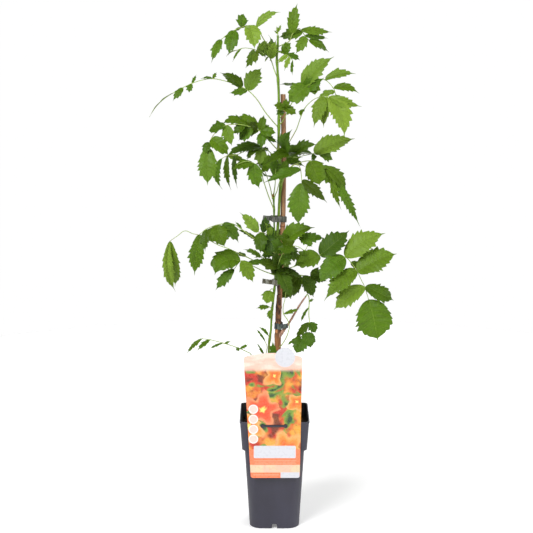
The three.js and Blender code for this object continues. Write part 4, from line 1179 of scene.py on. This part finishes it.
LABEL_FRONT = -61
LABEL_BACK = -60.4
LABEL_CORNERS = [(-41.3, 100), (43.8, 100), (47.2, 316), (-53.2, 316)]
LABEL_ARCH = 7.6  # how much higher the middle of the top edge stands than its ends
LABEL_ROUNDING = 4
LABEL_DISC = (17.7, 316, 17)  # X and Z of its middle, and its radius
BADGES = [(-36.7, 224), (-36.7, 206), (-36.7, 187.8), (-36.7, 170.5)]
BADGE_RADIUS = 8
PICTURE = (152, 293.7)  # lowest and highest edge of the flower print
PALE_STRIP = (110, 123.5)
PANEL = (-35.8, 36.4, 136.2, 158)  # left, right, lowest and highest edge
SMALL_PANEL = (10.7, 43.2, 100, 110)
RULES = [(-36, 38, 131), (-34, 37, 127), (-37, 8, 105.5)]  # left end, right end and height
# Layers of blossoms: spacing, shift, number of petals and two colours.
BLOSSOMS = [
    (40, 11.0, 4, (246, 178, 62), (236, 112, 40)),
    (66, 58.0, 5, (250, 160, 56), (236, 92, 52)),
]


def label_print(label):
    """Blossoms in warm colours over a coral band with bare panels and plain rules."""
    finish = Finish("label_print", roughness=0.3, Coat_Weight=0.25)
    spot = finish.place((1 / MM, 1 / MM, 1 / MM))
    x, z = (finish.node("SeparateXYZ", axis, inputs={0: spot}) for axis in "XZ")

    def inside(left, right, low, high, rounding=0.0, soft=0.5):
        """A mask for a rectangle with rounded corners."""
        across = finish.math("ABSOLUTE", finish.math("SUBTRACT", x, (left + right) / 2))
        up = finish.math("ABSOLUTE", finish.math("SUBTRACT", z, (low + high) / 2))
        across = finish.math("MAXIMUM", finish.math("SUBTRACT", across, (right - left) / 2 - rounding), 0.0)
        up = finish.math("MAXIMUM", finish.math("SUBTRACT", up, (high - low) / 2 - rounding), 0.0)
        corner = finish.math("SQRT", finish.math(
            "ADD", finish.math("MULTIPLY", across, across), finish.math("MULTIPLY", up, up)
        ))
        return finish.between(corner, rounding + soft, rounding)

    def ring(cx, cz, radius, soft=0.5):
        """A mask for a round spot."""
        return inside(cx - radius, cx + radius, cz - radius, cz + radius, radius, soft)

    flat = finish.node("CombineXYZ", inputs={0: x, 1: z})
    warped = finish.node("VectorMath", operation="ADD", inputs={
        0: flat,
        1: finish.node("VectorMath", operation="SCALE", inputs={
            0: finish.node("TexNoise", "Color", inputs={"Vector": flat, "Scale": 0.05, "Detail": 2}),
            "Scale": 16.0,
        }),
    })

    def blossoms(spacing, shift, petals):
        """Petals round the middle of each cell: how far in they are, and the cell's own number."""
        moved = finish.node("Mapping", inputs={"Vector": warped, "Location": (shift, shift * 0.7, 0)})
        scaled_down = finish.node("VectorMath", operation="SCALE", inputs={0: moved, "Scale": 1 / spacing})
        cell = finish.tree.nodes.new("ShaderNodeTexVoronoi")
        cell.voronoi_dimensions = "2D"
        cell.inputs["Scale"].default_value = 1
        cell.inputs["Randomness"].default_value = 0.75
        finish.tree.links.new(scaled_down, cell.inputs["Vector"])
        away = finish.node("VectorMath", operation="SUBTRACT", inputs={
            0: scaled_down, 1: cell.outputs["Position"]
        })
        away_x, away_y = (finish.node("SeparateXYZ", axis, inputs={0: away}) for axis in "XY")
        own = finish.node("SeparateColor", "Red", inputs={0: cell.outputs["Color"]})
        angle = finish.math("ARCTAN2", away_y, away_x)
        wave = finish.math("COSINE", finish.math(
            "ADD", finish.math("MULTIPLY", angle, float(petals)), finish.math("MULTIPLY", own, 6.0)
        ))
        reach = finish.math("MULTIPLY_ADD", wave, 0.1, 0.4)
        return finish.math("DIVIDE", cell.outputs["Distance"], reach), own

    ground = finish.noise(0.035, detail=2, at=flat)
    tint = finish.noise(0.028, detail=2, at=flat, distortion=1)
    picture = finish.over(color(228, 156, 56), color(188, 48, 28), ground, 0.36, 0.58)
    picture = finish.over(picture, color(96, 146, 50), tint, 0.49, 0.58, 0.9)
    picture = finish.over(picture, color(24, 62, 36), tint, 0.57, 0.66, 0.95)
    picture = finish.over(picture, color(92, 40, 14), tint, 0.44, 0.33, 0.85)
    for spacing, shift, petals, near, far in BLOSSOMS:
        depth, own = blossoms(spacing, shift, petals)
        petal = finish.over(color(*near), color(*far), own, 0.2, 0.8)
        petal = finish.over(petal, color(206, 58, 28), depth, 0.8, 0.1, 0.75)
        petal = finish.over(petal, color(255, 220, 110), depth, 0.26, 0.06)
        petal = finish.over(petal, color(250, 196, 140), depth, 0.6, 1.05, 0.5)
        shown = finish.math("MULTIPLY", finish.between(depth, 1.14, 0.84), finish.between(own, 0.38, 0.4))
        picture = finish.mix(shown, picture, petal)
    streaks = finish.noise(0.09, detail=3, at=finish.node(
        "Mapping", inputs={"Vector": flat, "Scale": (0.25, 1, 1)}
    ))
    top = finish.over(label.peach, color(240, 208, 194), streaks, 0.42, 0.62)
    body = finish.over(picture, top, z, PICTURE[1] - 5, PICTURE[1] + 4)
    body = finish.over(body, label.coral, z, PICTURE[0] + 0.4, PICTURE[0] - 0.4)
    strip = finish.over(color(236, 180, 156), color(216, 192, 158), tint, 0.4, 0.6)
    body = finish.mix(inside(-60, 60, *PALE_STRIP), body, strip)
    for left, right, height in RULES:
        body = finish.mix(inside(left, right, height, height, 0.7), body, color(255, 196, 168))
    body = finish.mix(inside(*PANEL, rounding=2), body, label.sheet)
    body = finish.mix(inside(*SMALL_PANEL, rounding=1), body, label.sheet)
    for badge in BADGES:
        body = finish.mix(ring(*badge, BADGE_RADIUS), body, color(238, 224, 221))
        body = finish.mix(ring(*badge, BADGE_RADIUS - 2.2, 1.2), body, color(235, 196, 186))
    body = finish.mix(ring(*LABEL_DISC), body, label.sheet)
    gloss = finish.noise(0.2, detail=3, at=flat)
    return finish.wear(body, finish.rough(gloss, 0.24, 0.36), finish.bump(gloss, 0.0001, 0.2))


def bare_sheet(label):
    """The unprinted back and edges of the sheet."""
    finish = Finish("bare_sheet", roughness=0.4)
    grain = finish.noise(900, detail=4)
    body = finish.over(scaled(label.sheet, 0.9), label.sheet, grain, 0.3, 0.7)
    return finish.wear(body, finish.rough(grain, 0.35, 0.5))


class VINE_OT_label(bpy.types.Operator):
    """Adds the hang label with its punched slot"""

    bl_idname = "vine.add_label"
    bl_label = "Label"

    def execute(self, context):
        label = context.scene.vine_label
        bm = bmesh.new()
        sheet = bmesh.ops.create_grid(bm, x_segments=20, y_segments=1, size=0.5)["verts"]
        corners = [vert for vert in sheet if len(vert.link_edges) == 2]
        foot_left, foot_right, top_right, top_left = LABEL_CORNERS
        for vert in sheet:
            across = vert.co.x + 0.5
            low, high = (top_left, top_right) if vert.co.y > 0 else (foot_left, foot_right)
            arch = LABEL_ARCH * (1 - (2 * across - 1) ** 2) if vert.co.y > 0 else 0
            vert.co = (
                (low[0] + (high[0] - low[0]) * across) * MM, LABEL_FRONT * MM, (low[1] + arch) * MM
            )
        bmesh.ops.bevel(bm, geom=corners, affect="VERTICES", offset=LABEL_ROUNDING * MM, segments=6,
                        profile=0.5, material=-1)
        thickness = (LABEL_BACK - LABEL_FRONT) * MM
        bmesh.ops.solidify(bm, geom=list(bm.faces), thickness=thickness)
        piece = new_object(bm, "hang_label", [label_print(label), bare_sheet(label)])
        cx, cz, radius = LABEL_DISC
        middle = Matrix.Translation((cx * MM, (LABEL_FRONT + LABEL_BACK) / 2 * MM, cz * MM))
        bm = bmesh.new()
        disc(bm, radius, thickness, middle @ TO_FRONT)
        combine(piece, new_object(bm, "top_disc"), "UNION")
        slot = (LUG_LENGTH + 2 * GAP, LUG_BAR + 2 * GAP, LUG_KNOB + GAP, LABEL_BACK + 1, LABEL_FRONT - 1)
        combine(piece, bar_tool(*slot))
        for face in piece.data.polygons:
            face.material_index = 0 if face.normal.y < -0.5 else 1
        sharpen(piece, 30)
        seat(piece, "label")
        return {"FINISHED"}


# ---- cane, old wood, stems and ties ---------------------------------------------------------------
CANE_WALL = 1.3
CANE_HOLLOW = 9  # how deep the cut end is open
RING_SWELL = (0.55, 3.2)  # how far the cane swells at a ring, and how far up and down from it
RING_GROOVE = (0.4, 1.1)  # the groove below the ring, in the same way
RING_TO_GROOVE = 3.4
NODE_REACH = 5  # a leaf that starts this near a stem's middle grows from that stem
NODE_LENGTH = 6  # how far from a leaf's foot the stem is swollen


def bulge(off, reach):
    """1 at the middle of a bulge, and less the farther off along its reach."""
    return math.exp(-((off / reach) ** 2))


def roughen(bm, verts, amount, scale, stretch):
    """Pushes verts in and out by noise, with its amount in mm, its scale per metre and its stretch in Z."""
    bm.normal_update()
    for vert in verts:
        spot = Vector((vert.co.x * scale, vert.co.y * scale, vert.co.z * scale * stretch))
        push = noise.noise(spot) + 0.5 * noise.noise(spot * 2.3) + 0.25 * noise.noise(spot * 5.1)
        vert.co += vert.normal * push * amount * MM


class VINE_OT_wood(bpy.types.Operator):
    """Adds the bamboo cane and the old wood with its dry twig"""

    bl_idname = "vine.add_wood"
    bl_label = "Cane and old wood"

    def execute(self, context):
        wood = context.scene.vine_wood
        self.cane(wood)
        self.old_wood(wood)
        return {"FINISHED"}

    def cane(self, wood):
        """The bamboo, swollen at its rings and open at its cut end."""
        swell, swell_reach = RING_SWELL
        groove, groove_reach = RING_GROOVE
        points = [place(*spot) for spot in CANE]
        curve = [on_route(points, at) for at in route(CANE, 60)]
        radii = []
        for point in curve:
            radius = wood.cane_radius / MM
            for node in CANE_NODES:
                off = point.z / MM - node
                hollow = groove * bulge(off + RING_TO_GROOVE, groove_reach)
                radius += swell * bulge(off, swell_reach) - hollow
            radii.append(radius * MM)
        bm = bmesh.new()
        tube(bm, curve, radii, 20)
        top = max(bm.faces, key=lambda face: min(vert.co.z for vert in face.verts))
        bmesh.ops.inset_individual(bm, faces=[top], thickness=CANE_WALL * MM)
        bottom = bmesh.ops.extrude_discrete_faces(bm, faces=[top])["faces"][0]
        bmesh.ops.translate(bm, verts=bottom.verts, vec=(0, 0, -CANE_HOLLOW * MM))
        cut_end = curve[-1].z - 0.5 * MM
        for face in bm.faces:
            if face.calc_center_median().z > cut_end:
                face.material_index = 1
        roughen(bm, bm.verts, 0.12, 260, 0.1)
        piece = new_object(bm, "bamboo_skin", [bamboo_skin(wood), bamboo_pith(wood)])
        sharpen(piece, 40)
        seat(piece, "bamboo_cane")

    def old_wood(self, wood):
        """The woody base and its dry twig, grown as one."""
        bm = bmesh.new()
        grown(bm, WOODY_BASE, WOODY_RADII, 16, 24)
        trunk = set(bm.verts)
        grown(bm, TWIG, TWIG_RADII, 8, 14, 1)
        roughen(bm, trunk, 0.9, 220, 0.3)
        roughen(bm, set(bm.verts) - trunk, 0.35, 240, 0.8)
        piece = new_object(bm, "old_wood", [old_bark(wood), dry_twig()])
        sharpen(piece, 60)
        seat(piece, "woody_base")


def leaf_feet(points):
    """Where on a stem's route leaves grow from it."""
    feet = []
    for stalk, *leaflets in LEAVES.values():
        foot = place(*stalk[0])
        near = min(
            (on_route(points, step / 8) - foot).length for step in range(8 * (len(points) - 1) + 1)
        )
        if near < NODE_REACH * MM:
            feet.append(foot)
    return feet


class VINE_OT_stems(bpy.types.Operator):
    """Adds the tall green stem and the thin stem in front of it"""

    bl_idname = "vine.add_stems"
    bl_label = "Stems"

    def execute(self, context):
        stem = context.scene.vine_stem
        blush = color(122, 92, 58)
        # The green stem's dark bark runs up under the leaves, where it is partly painted shade.
        for name, node, places, radii, tone, bark_and_shade_ends in (
            ("green_stem", "main_stem", MAIN_STEM, MAIN_RADII, stem.green, (0.436, 0.452)),
            ("pale_stem", "front_stem", FRONT_STEM, FRONT_RADII, stem.pale, None),
        ):
            points = [place(*spot) for spot in places]
            feet = leaf_feet(points)
            curve, thickness = [], []
            for at in route(places, 12):
                point = on_route(points, at)
                near = min(((point - foot).length for foot in feet), default=1)
                curve.append(point)
                thickness.append(on_list(radii, at) * MM + stem.swelling * bulge(near, NODE_LENGTH * MM))
            bm = bmesh.new()
            tube(bm, curve, thickness, 16)
            roughen(bm, bm.verts, 0.12, 500, 0.06)
            skins = [stem_skin(name + "_skin", tone, blush, bark_and_shade_ends)]
            if node == "front_stem":
                self.bud(bm, curve[-1])
                skins.append(stem_skin("bud_skin", color(146, 84, 44), color(104, 44, 32)))
            piece = new_object(bm, name, skins)
            seat(piece, node)
        return {"FINISHED"}

    def bud(self, bm, top):
        """The reddish bud that the front stem ends in, between the stalks of its leaves."""
        size = Matrix.Diagonal((1.7 * MM, 1.7 * MM, 2.8 * MM, 1))
        spot = Matrix.Translation(top + Vector((-1.2, -1.4, 0.4)) * MM)
        made = bmesh.ops.create_icosphere(bm, subdivisions=2, radius=1, matrix=spot @ size)["verts"]
        for face in {face for vert in made for face in vert.link_faces}:
            face.material_index = 1


# Each tie: its node, the points that it runs round (seen from above, stem first), the radius inside,
# its lowest edge, how much it rises from its right end to its left, its tail, its colour and the
# colour of its painted sheen.
TIES = [
    ("tie_1", (-1, -6), (14.4, 6), 4.8, 541, 4, [(-4, -9), (-12, -14), (-20, -13)],
     (66, 72, 58), (112, 112, 106)),
    ("tie_2", (10, -3), (15.4, 6), 4.8, 630, 2, [(7, -7), (3, -11)],
     (30, 32, 28), (66, 68, 62)),
    ("tie_3", (0.9, -9), (10, 7.4), 4.8, 431, 3, [(-2, -12), (-10, -15), (-21, -13)],
     (86, 82, 58), (150, 150, 140)),
    ("tie_4", (6, -1.6), (7.8, 8.6), 5.6, 352, 1, [(9, -7.3), (17, -11), (23, -8.5)],
     (34, 40, 52), (96, 108, 98)),
]
TIE_OVERLAP = 4  # how many points of a second turn lie over the first
TIE_WANDER = 0.8  # how far the tape strays up and down on its way round
TAIL_WIDTH = 0.85  # as a share of the tape's width


def around(stem, cane, radius, steps=10):
    """Points once round a stem and a cane, seen from above, from the stem's left side."""
    heading = math.atan2(cane[1] - stem[1], cane[0] - stem[0])
    for (x, y), start in ((cane, heading - math.pi / 2), (stem, heading + math.pi / 2)):
        for step in range(steps + 1):
            angle = start + math.pi * step / steps
            yield x + radius * math.cos(angle), y + radius * math.sin(angle)


def tape(bm, points, width, thickness):
    """A soft flat tape through the points, standing on its edge."""
    steps = []
    for before, point, after in zip([points[0], *points], points, [*points[1:], points[-1]]):
        way = (after - before).normalized()
        out = way.cross(UP).normalized()
        turn = Matrix((out, way.cross(out), way)).transposed().to_4x4()
        steps.append(stretched(Matrix.Translation(point) @ turn, thickness / 2, width / 2))
    ring = bmesh.ops.create_circle(bm, cap_ends=True, segments=14, radius=1, matrix=steps[0])["verts"]
    swept(bm, ring, steps)


class VINE_OT_ties(bpy.types.Operator):
    """Adds the soft ties that hold the stems to the cane"""

    bl_idname = "vine.add_ties"
    bl_label = "Ties"

    def execute(self, context):
        tie = context.scene.vine_tie
        for name, stem, cane, inner, low, rise, tail, tone, painted_sheen in TIES:
            middle = low + tie.height / MM / 2
            radius = inner + tie.thickness / MM / 2
            span = cane[0] - stem[0] + 2 * radius
            loop = list(around(stem, cane, radius))
            second = list(around(stem, cane, radius + tie.thickness / MM))[:TIE_OVERLAP]
            bm = bmesh.new()
            points = []
            for index, (x, y) in enumerate([*loop, *second]):
                lift = rise * ((cane[0] + radius - x) / span - 0.5) + TIE_WANDER * math.sin(index * 0.9)
                points.append(Vector((x, y, middle + lift)) * MM)
            tape(bm, points, tie.height, tie.thickness)
            spots = [Vector((*loop[-1], middle)) * MM]
            for step, (x, y) in enumerate(tail):
                spots.append(Vector((x, y, middle + rise / 2 + step)) * MM)
            tail_points = [on_route(spots, at) for at in route(spots, 6)]
            tape(bm, tail_points, tie.height * TAIL_WIDTH, tie.thickness)
            roughen(bm, bm.verts, 0.5, 160, 1)
            piece = new_object(bm, name + "_tape", [soft_tape(name + "_tape", color(*tone), color(*painted_sheen))])
            seat(piece, name)
        return {"FINISHED"}


# ---- leaves ---------------------------------------------------------------------------------------
LANES = 4  # grid lanes on each side of the midrib
COLUMNS = 5  # grid columns for each tooth
TOOTH_SPACING = 8.2
TOOTH_SCALE = 24 * MM  # a leaflet this wide has teeth of the set height, and a wider one higher ones
FEWEST_TEETH = 4
WIDEST_AT = 0.38  # where along its length a leaflet is widest, unless its row says otherwise
BLADE_END = 0.94
POINT_WIDTH = 0.07
ARCH = 0.08  # how far its middle stands proud of its chord, as a share of its length
TOOTHED = (0.12, 0.9)  # the stretch of its margin that has teeth, as shares of its length
TOOTH_GROWTH = (0.25, 0.15)  # how long a stretch they grow over at its foot and shrink over at its tip
TOOTH_LEAN = 0.19  # how far a tooth's point is drawn forwards, counted in teeth
NARROW = 3.2  # teeth are lower where its half width is less than its width over this number
WAVE = 0.12  # how far its margin waves up and down, as a share of its half width
QUILT = 0.06  # and how far it swells between the side veins
RIB_END = 0.9
STALK_RADIUS = 0.85
STALK_KNOT = 0.12  # how far a stalk is swollen at a leaflet, counted in places
STALK_BASE = 0.25  # and at its own foot


def outline(along, widest, foot, taper):
    """Half width of a leaflet along its length, as a share of the greatest.

    A small foot number gives a round foot, and a taper over 1 a lean blade; the blade runs out
    before the end, where only the drawn-out point goes on.
    """
    if along < widest:
        share = max(along, 0) / widest
        return share**foot * (1 + foot * (1 - share))
    share = min((along - widest) / (BLADE_END - widest), 1)
    return max((1 - share) ** taper * (1 + taper * share), POINT_WIDTH * min((1 - along) / 0.1, 1))


def clamped(value):
    """A value kept from 0 to 1."""
    return min(max(value, 0), 1)


def leaflet(bm, tint, draw, foot, tip, width, turn, bow, pale, widest, tooth, thickness):
    """One toothed leaflet: a grid drawn out from foot to tip, folded, quilted and given its thickness."""
    length = (tip - foot).length
    teeth = min(max(round(length / MM / TOOTH_SPACING), FEWEST_TEETH), MOST_TEETH)
    axis = (tip - foot) / length
    up = (FACING - axis * FACING.dot(axis)).normalized()
    up.rotate(Quaternion(axis, math.radians(turn)))
    crest = foot.lerp(tip, 0.5) + up * 2 * ARCH * length + up.cross(axis) * 2 * bow * length

    def midrib(at):
        """The point of its midrib at a share of its length."""
        rest = 1 - at
        return foot * rest**2 + crest * 2 * rest * at + tip * at**2

    fold = draw.uniform(0.12, 0.48)
    droop = draw.uniform(0.04, 0.24)
    twist = math.radians(draw.uniform(-22, 22))
    waves = draw.uniform(1.4, 2.6)
    phases = [draw.uniform(0, 2 * math.pi) for side in range(2)]
    taper = min(max(1.95 - 1.3 * width / length, 0.85), 1.75) + draw.uniform(-0.1, 0.1)
    roundness = draw.uniform(0.45, 0.7)
    sizes = [[draw.uniform(0.4, 1.5) for side in range(2)] for one in range(teeth + 1)]
    shifts = [draw.uniform(-0.25, 0.25) for one in range(teeth + 2)]
    # The pale number goes into the tint; it is partly the leaflet's own colour and partly painted light and
    # shade.
    mark = (0.5 + pale / 2, draw.random(), teeth / MOST_TEETH, 1)
    grid = bmesh.ops.create_grid(
        bm, x_segments=COLUMNS * teeth, y_segments=2 * LANES, size=0.5, calc_uvs=True
    )["verts"]
    ends = []
    for vert in grid:
        along, across = vert.co.x + 0.5, 2 * vert.co.y
        off = abs(across)
        if along < 1e-4 or along > 1 - 1e-4:
            ends.append(vert)
        count = along * teeth
        one, step = divmod(count + 1e-6, 1)
        size = sizes[int(one)][across > 0]
        saw = step / TOOTH_POINT if step <= TOOTH_POINT + 0.01 else 0
        start, end = (along - TOOTHED[0]) / TOOTH_GROWTH[0], (TOOTHED[1] - along) / TOOTH_GROWTH[1]
        gate = clamped(start) * clamped(end)
        even = shifts[int(one)] * (1 - step) + shifts[int(one) + 1] * step
        along += even * math.sin(math.pi * min(along, 1)) / teeth
        half = outline(along, widest, roundness, taper) * width / 2
        reach = half * (1 - tooth) * off
        if off > 0.99:
            broad = min(half / (width / NARROW), 1)
            reach += tooth * size * saw * gate * math.sqrt(width * TOOTH_SCALE) * broad
            along = min(along + TOOTH_LEAN * saw * gate / teeth, 1)
        tangent = ((crest - foot) * (1 - along) + (tip - crest) * along).normalized()
        side = up.cross(tangent).normalized()
        side.rotate(Quaternion(tangent, twist * (along - 0.4)))
        lift = tangent.cross(side)
        vein = count - VEIN_REACH * off
        quilt = (0.5 - 0.5 * math.cos(2 * math.pi * vein)) * math.sin(math.pi * min(off, 1))
        wave = math.sin(2 * math.pi * waves * along + phases[across > 0]) * off**2
        wave *= math.sin(math.pi * along)
        height = half * (fold * off - droop * off**3 + WAVE * wave) + QUILT * half * quilt
        vert.co = midrib(along) + side * math.copysign(reach, across) + lift * height
        vert[tint] = mark
    bmesh.ops.remove_doubles(bm, verts=ends, dist=1e-7)
    faces = list({face for vert in grid if vert.is_valid for face in vert.link_faces})
    kept = set(faces)
    rim = [edge for face in faces for edge in face.edges if edge.is_boundary]
    bmesh.ops.solidify(bm, geom=faces, thickness=thickness)
    shell = linked(faces[0])
    for face in shell:
        face.smooth = True
        if face not in kept:
            face.material_index = 1
    for edge in rim:
        edge.smooth = False
    ats = [step / 10 * RIB_END for step in range(11)]
    rib = [midrib(at) - up * (thickness + 0.1 * MM) for at in ats]
    tube(bm, rib, [(0.5 - 0.4 * at) * MM * min(width / 0.03, 1.2) for at in ats], 6, 2)


def linked(face):
    """All faces of the shell that a face belongs to."""
    found, newest = {face}, {face}
    while newest:
        newest = {other for one in newest for edge in one.edges for other in edge.link_faces} - found
        found |= newest
    return found


class VINE_OT_leaves(bpy.types.Operator):
    """Adds each compound leaf: its stalk and its toothed leaflets"""

    bl_idname = "vine.add_leaves"
    bl_label = "Leaves"

    def execute(self, context):
        leaf = context.scene.vine_leaf
        skins = [
            leaf_skin("leaf_upper_side", leaf.upper, color(128, 156, 54), color(138, 164, 66), False),
            leaf_skin("leaf_underside", leaf.under, color(150, 168, 100), color(162, 178, 112), True),
            stem_skin("leaf_stalk", leaf.stalk, color(150, 132, 74)),
        ]
        for name, (stalk, *leaflets) in LEAVES.items():
            bm = bmesh.new()
            bm.loops.layers.uv.new("leaflet")
            tint = bm.verts.layers.float_color.new("tint")
            points = [place(*spot) for spot in stalk]
            last = len(points) - 1
            ats = route(stalk, 6)
            radii = []
            for at in ats:
                knot = max(bulge(at - row[0], STALK_KNOT) for row in leaflets)
                base = bulge(at, STALK_BASE) if last > 2 else 0
                radii.append(STALK_RADIUS * (1.1 - 0.5 * at / last + 0.3 * knot + 0.6 * base) * MM)
            tube(bm, [on_route(points, at) for at in ats], radii, 8, 2)
            for index, (at, tip, width, turn, bow, pale, *widest) in enumerate(leaflets):
                draw = random.Random(f"{name}{index}")
                leaflet(bm, tint, draw, on_route(points, at), place(*tip), width * MM, turn, bow, pale,
                        *(widest or [WIDEST_AT]), leaf.tooth, leaf.thickness)
            piece = new_object(bm, name + "_grown", skins)
            seat(piece, name)
        return {"FINISHED"}


# ---- stage ----------------------------------------------------------------------------------------
FLOOR_RADIUS = 1.6
BACKDROP_RADIUS = 9
LIT = Vector((0, 0, 0.5))  # the point that the lights face
# Each light: its place and its size in metres, and its power as a share of the key light's.
LIGHTS = {
    "key": ((-1.3, -1.9, 2.1), 1.6, 1),
    "fill": ((1.9, -1.2, 1.1), 2.2, 0.4),
    "back": ((0.6, 2, 1.9), 2, 0.45),
}


class VINE_OT_stage(bpy.types.Operator):
    """Adds the pale floor, the soft lights and the camera"""

    bl_idname = "vine.add_stage"
    bl_label = "Stage"

    def execute(self, context):
        stage = context.scene.vine_stage
        scene = context.scene
        scene.view_settings.view_transform = "Standard"
        bm = bmesh.new()
        bmesh.ops.create_circle(bm, cap_ends=True, segments=96, radius=FLOOR_RADIUS)
        floor = new_object(bm, "floor", [self.floor_paint(stage)])
        bm = bmesh.new()
        bmesh.ops.create_uvsphere(bm, u_segments=48, v_segments=24, radius=BACKDROP_RADIUS)
        backdrop = new_object(bm, "backdrop", [self.backdrop_paint()])
        for rays in ("diffuse", "glossy", "transmission", "shadow"):
            setattr(backdrop, "visible_" + rays, False)
        world = bpy.data.worlds.new("studio")
        world.use_nodes = True
        world.node_tree.nodes["Background"].inputs["Color"].default_value = (1, 1, 1, 1)
        world.node_tree.nodes["Background"].inputs["Strength"].default_value = stage.sky
        scene.world = world
        for name, (spot, size, share) in LIGHTS.items():
            light = bpy.data.lights.new(name, "AREA")
            light.shape = "DISK"
            light.size = size
            light.energy = stage.key * share
            lamp = bpy.data.objects.new(name, light)
            lamp.location = spot
            lamp.rotation_euler = (LIT - lamp.location).to_track_quat("-Z", "Y").to_euler()
            scene.collection.objects.link(lamp)
        camera = bpy.data.objects.new("camera", bpy.data.cameras.new("camera"))
        camera.data.lens = EYE_LENS
        camera.data.sensor_width = 36
        camera.location = EYE * MM
        camera.rotation_euler = (math.pi / 2 - EYE_PITCH, 0, 0)
        scene.collection.objects.link(camera)
        scene.camera = camera
        return {"FINISHED"}

    def backdrop_paint(self):
        """White that gives off its own light."""
        finish = Finish("backdrop_paint", roughness=1, Emission_Strength=1.0)
        finish.shader.inputs["Emission Color"].default_value = (1, 1, 1, 1)
        finish.shader.inputs["Base Color"].default_value = (0, 0, 0, 1)
        return finish.material

    def floor_paint(self, stage):
        """A pale matt floor that glows a little, so that it fades into the backdrop."""
        finish = Finish("floor_paint", roughness=0.9, Emission_Strength=0.24)
        grain = finish.noise(3, detail=2)
        body = finish.over(scaled(stage.floor, 0.985), stage.floor, grain, 0.3, 0.7)
        for name in ("Base Color", "Emission Color"):
            finish.tree.links.new(body, finish.shader.inputs[name])
        return finish.material


class VINE_PT_sidebar(bpy.types.Panel):
    """Lists the pieces of the vine and their settings"""

    bl_idname = "VINE_PT_sidebar"
    bl_label = "Potted trumpet vine"
    bl_space_type = "VIEW_3D"
    bl_region_type = "UI"
    bl_category = "Vine"

    def draw(self, context):
        for operator in OPERATORS:
            self.layout.operator(operator.bl_idname)
        for attribute, settings in SETTINGS.items():
            box = self.layout.box()
            box.label(text=settings.__doc__)
            for name in settings.__annotations__:
                box.prop(getattr(context.scene, attribute), name)


OPERATORS = (
    VINE_OT_stage, VINE_OT_pot, VINE_OT_soil, VINE_OT_label, VINE_OT_wood, VINE_OT_stems, VINE_OT_ties,
    VINE_OT_leaves,
)


def register():
    for made in (*SETTINGS.values(), *OPERATORS, VINE_PT_sidebar):
        bpy.utils.register_class(made)
    for attribute, settings in SETTINGS.items():
        setattr(bpy.types.Scene, attribute, bpy.props.PointerProperty(type=settings))


def unregister():
    for attribute in SETTINGS:
        delattr(bpy.types.Scene, attribute)
    for made in reversed((*SETTINGS.values(), *OPERATORS, VINE_PT_sidebar)):
        bpy.utils.unregister_class(made)


def main():
    register()
    for operator in OPERATORS:
        group, name = operator.bl_idname.split(".")
        getattr(getattr(bpy.ops, group), name)()


if __name__ == "__main__":
    main()
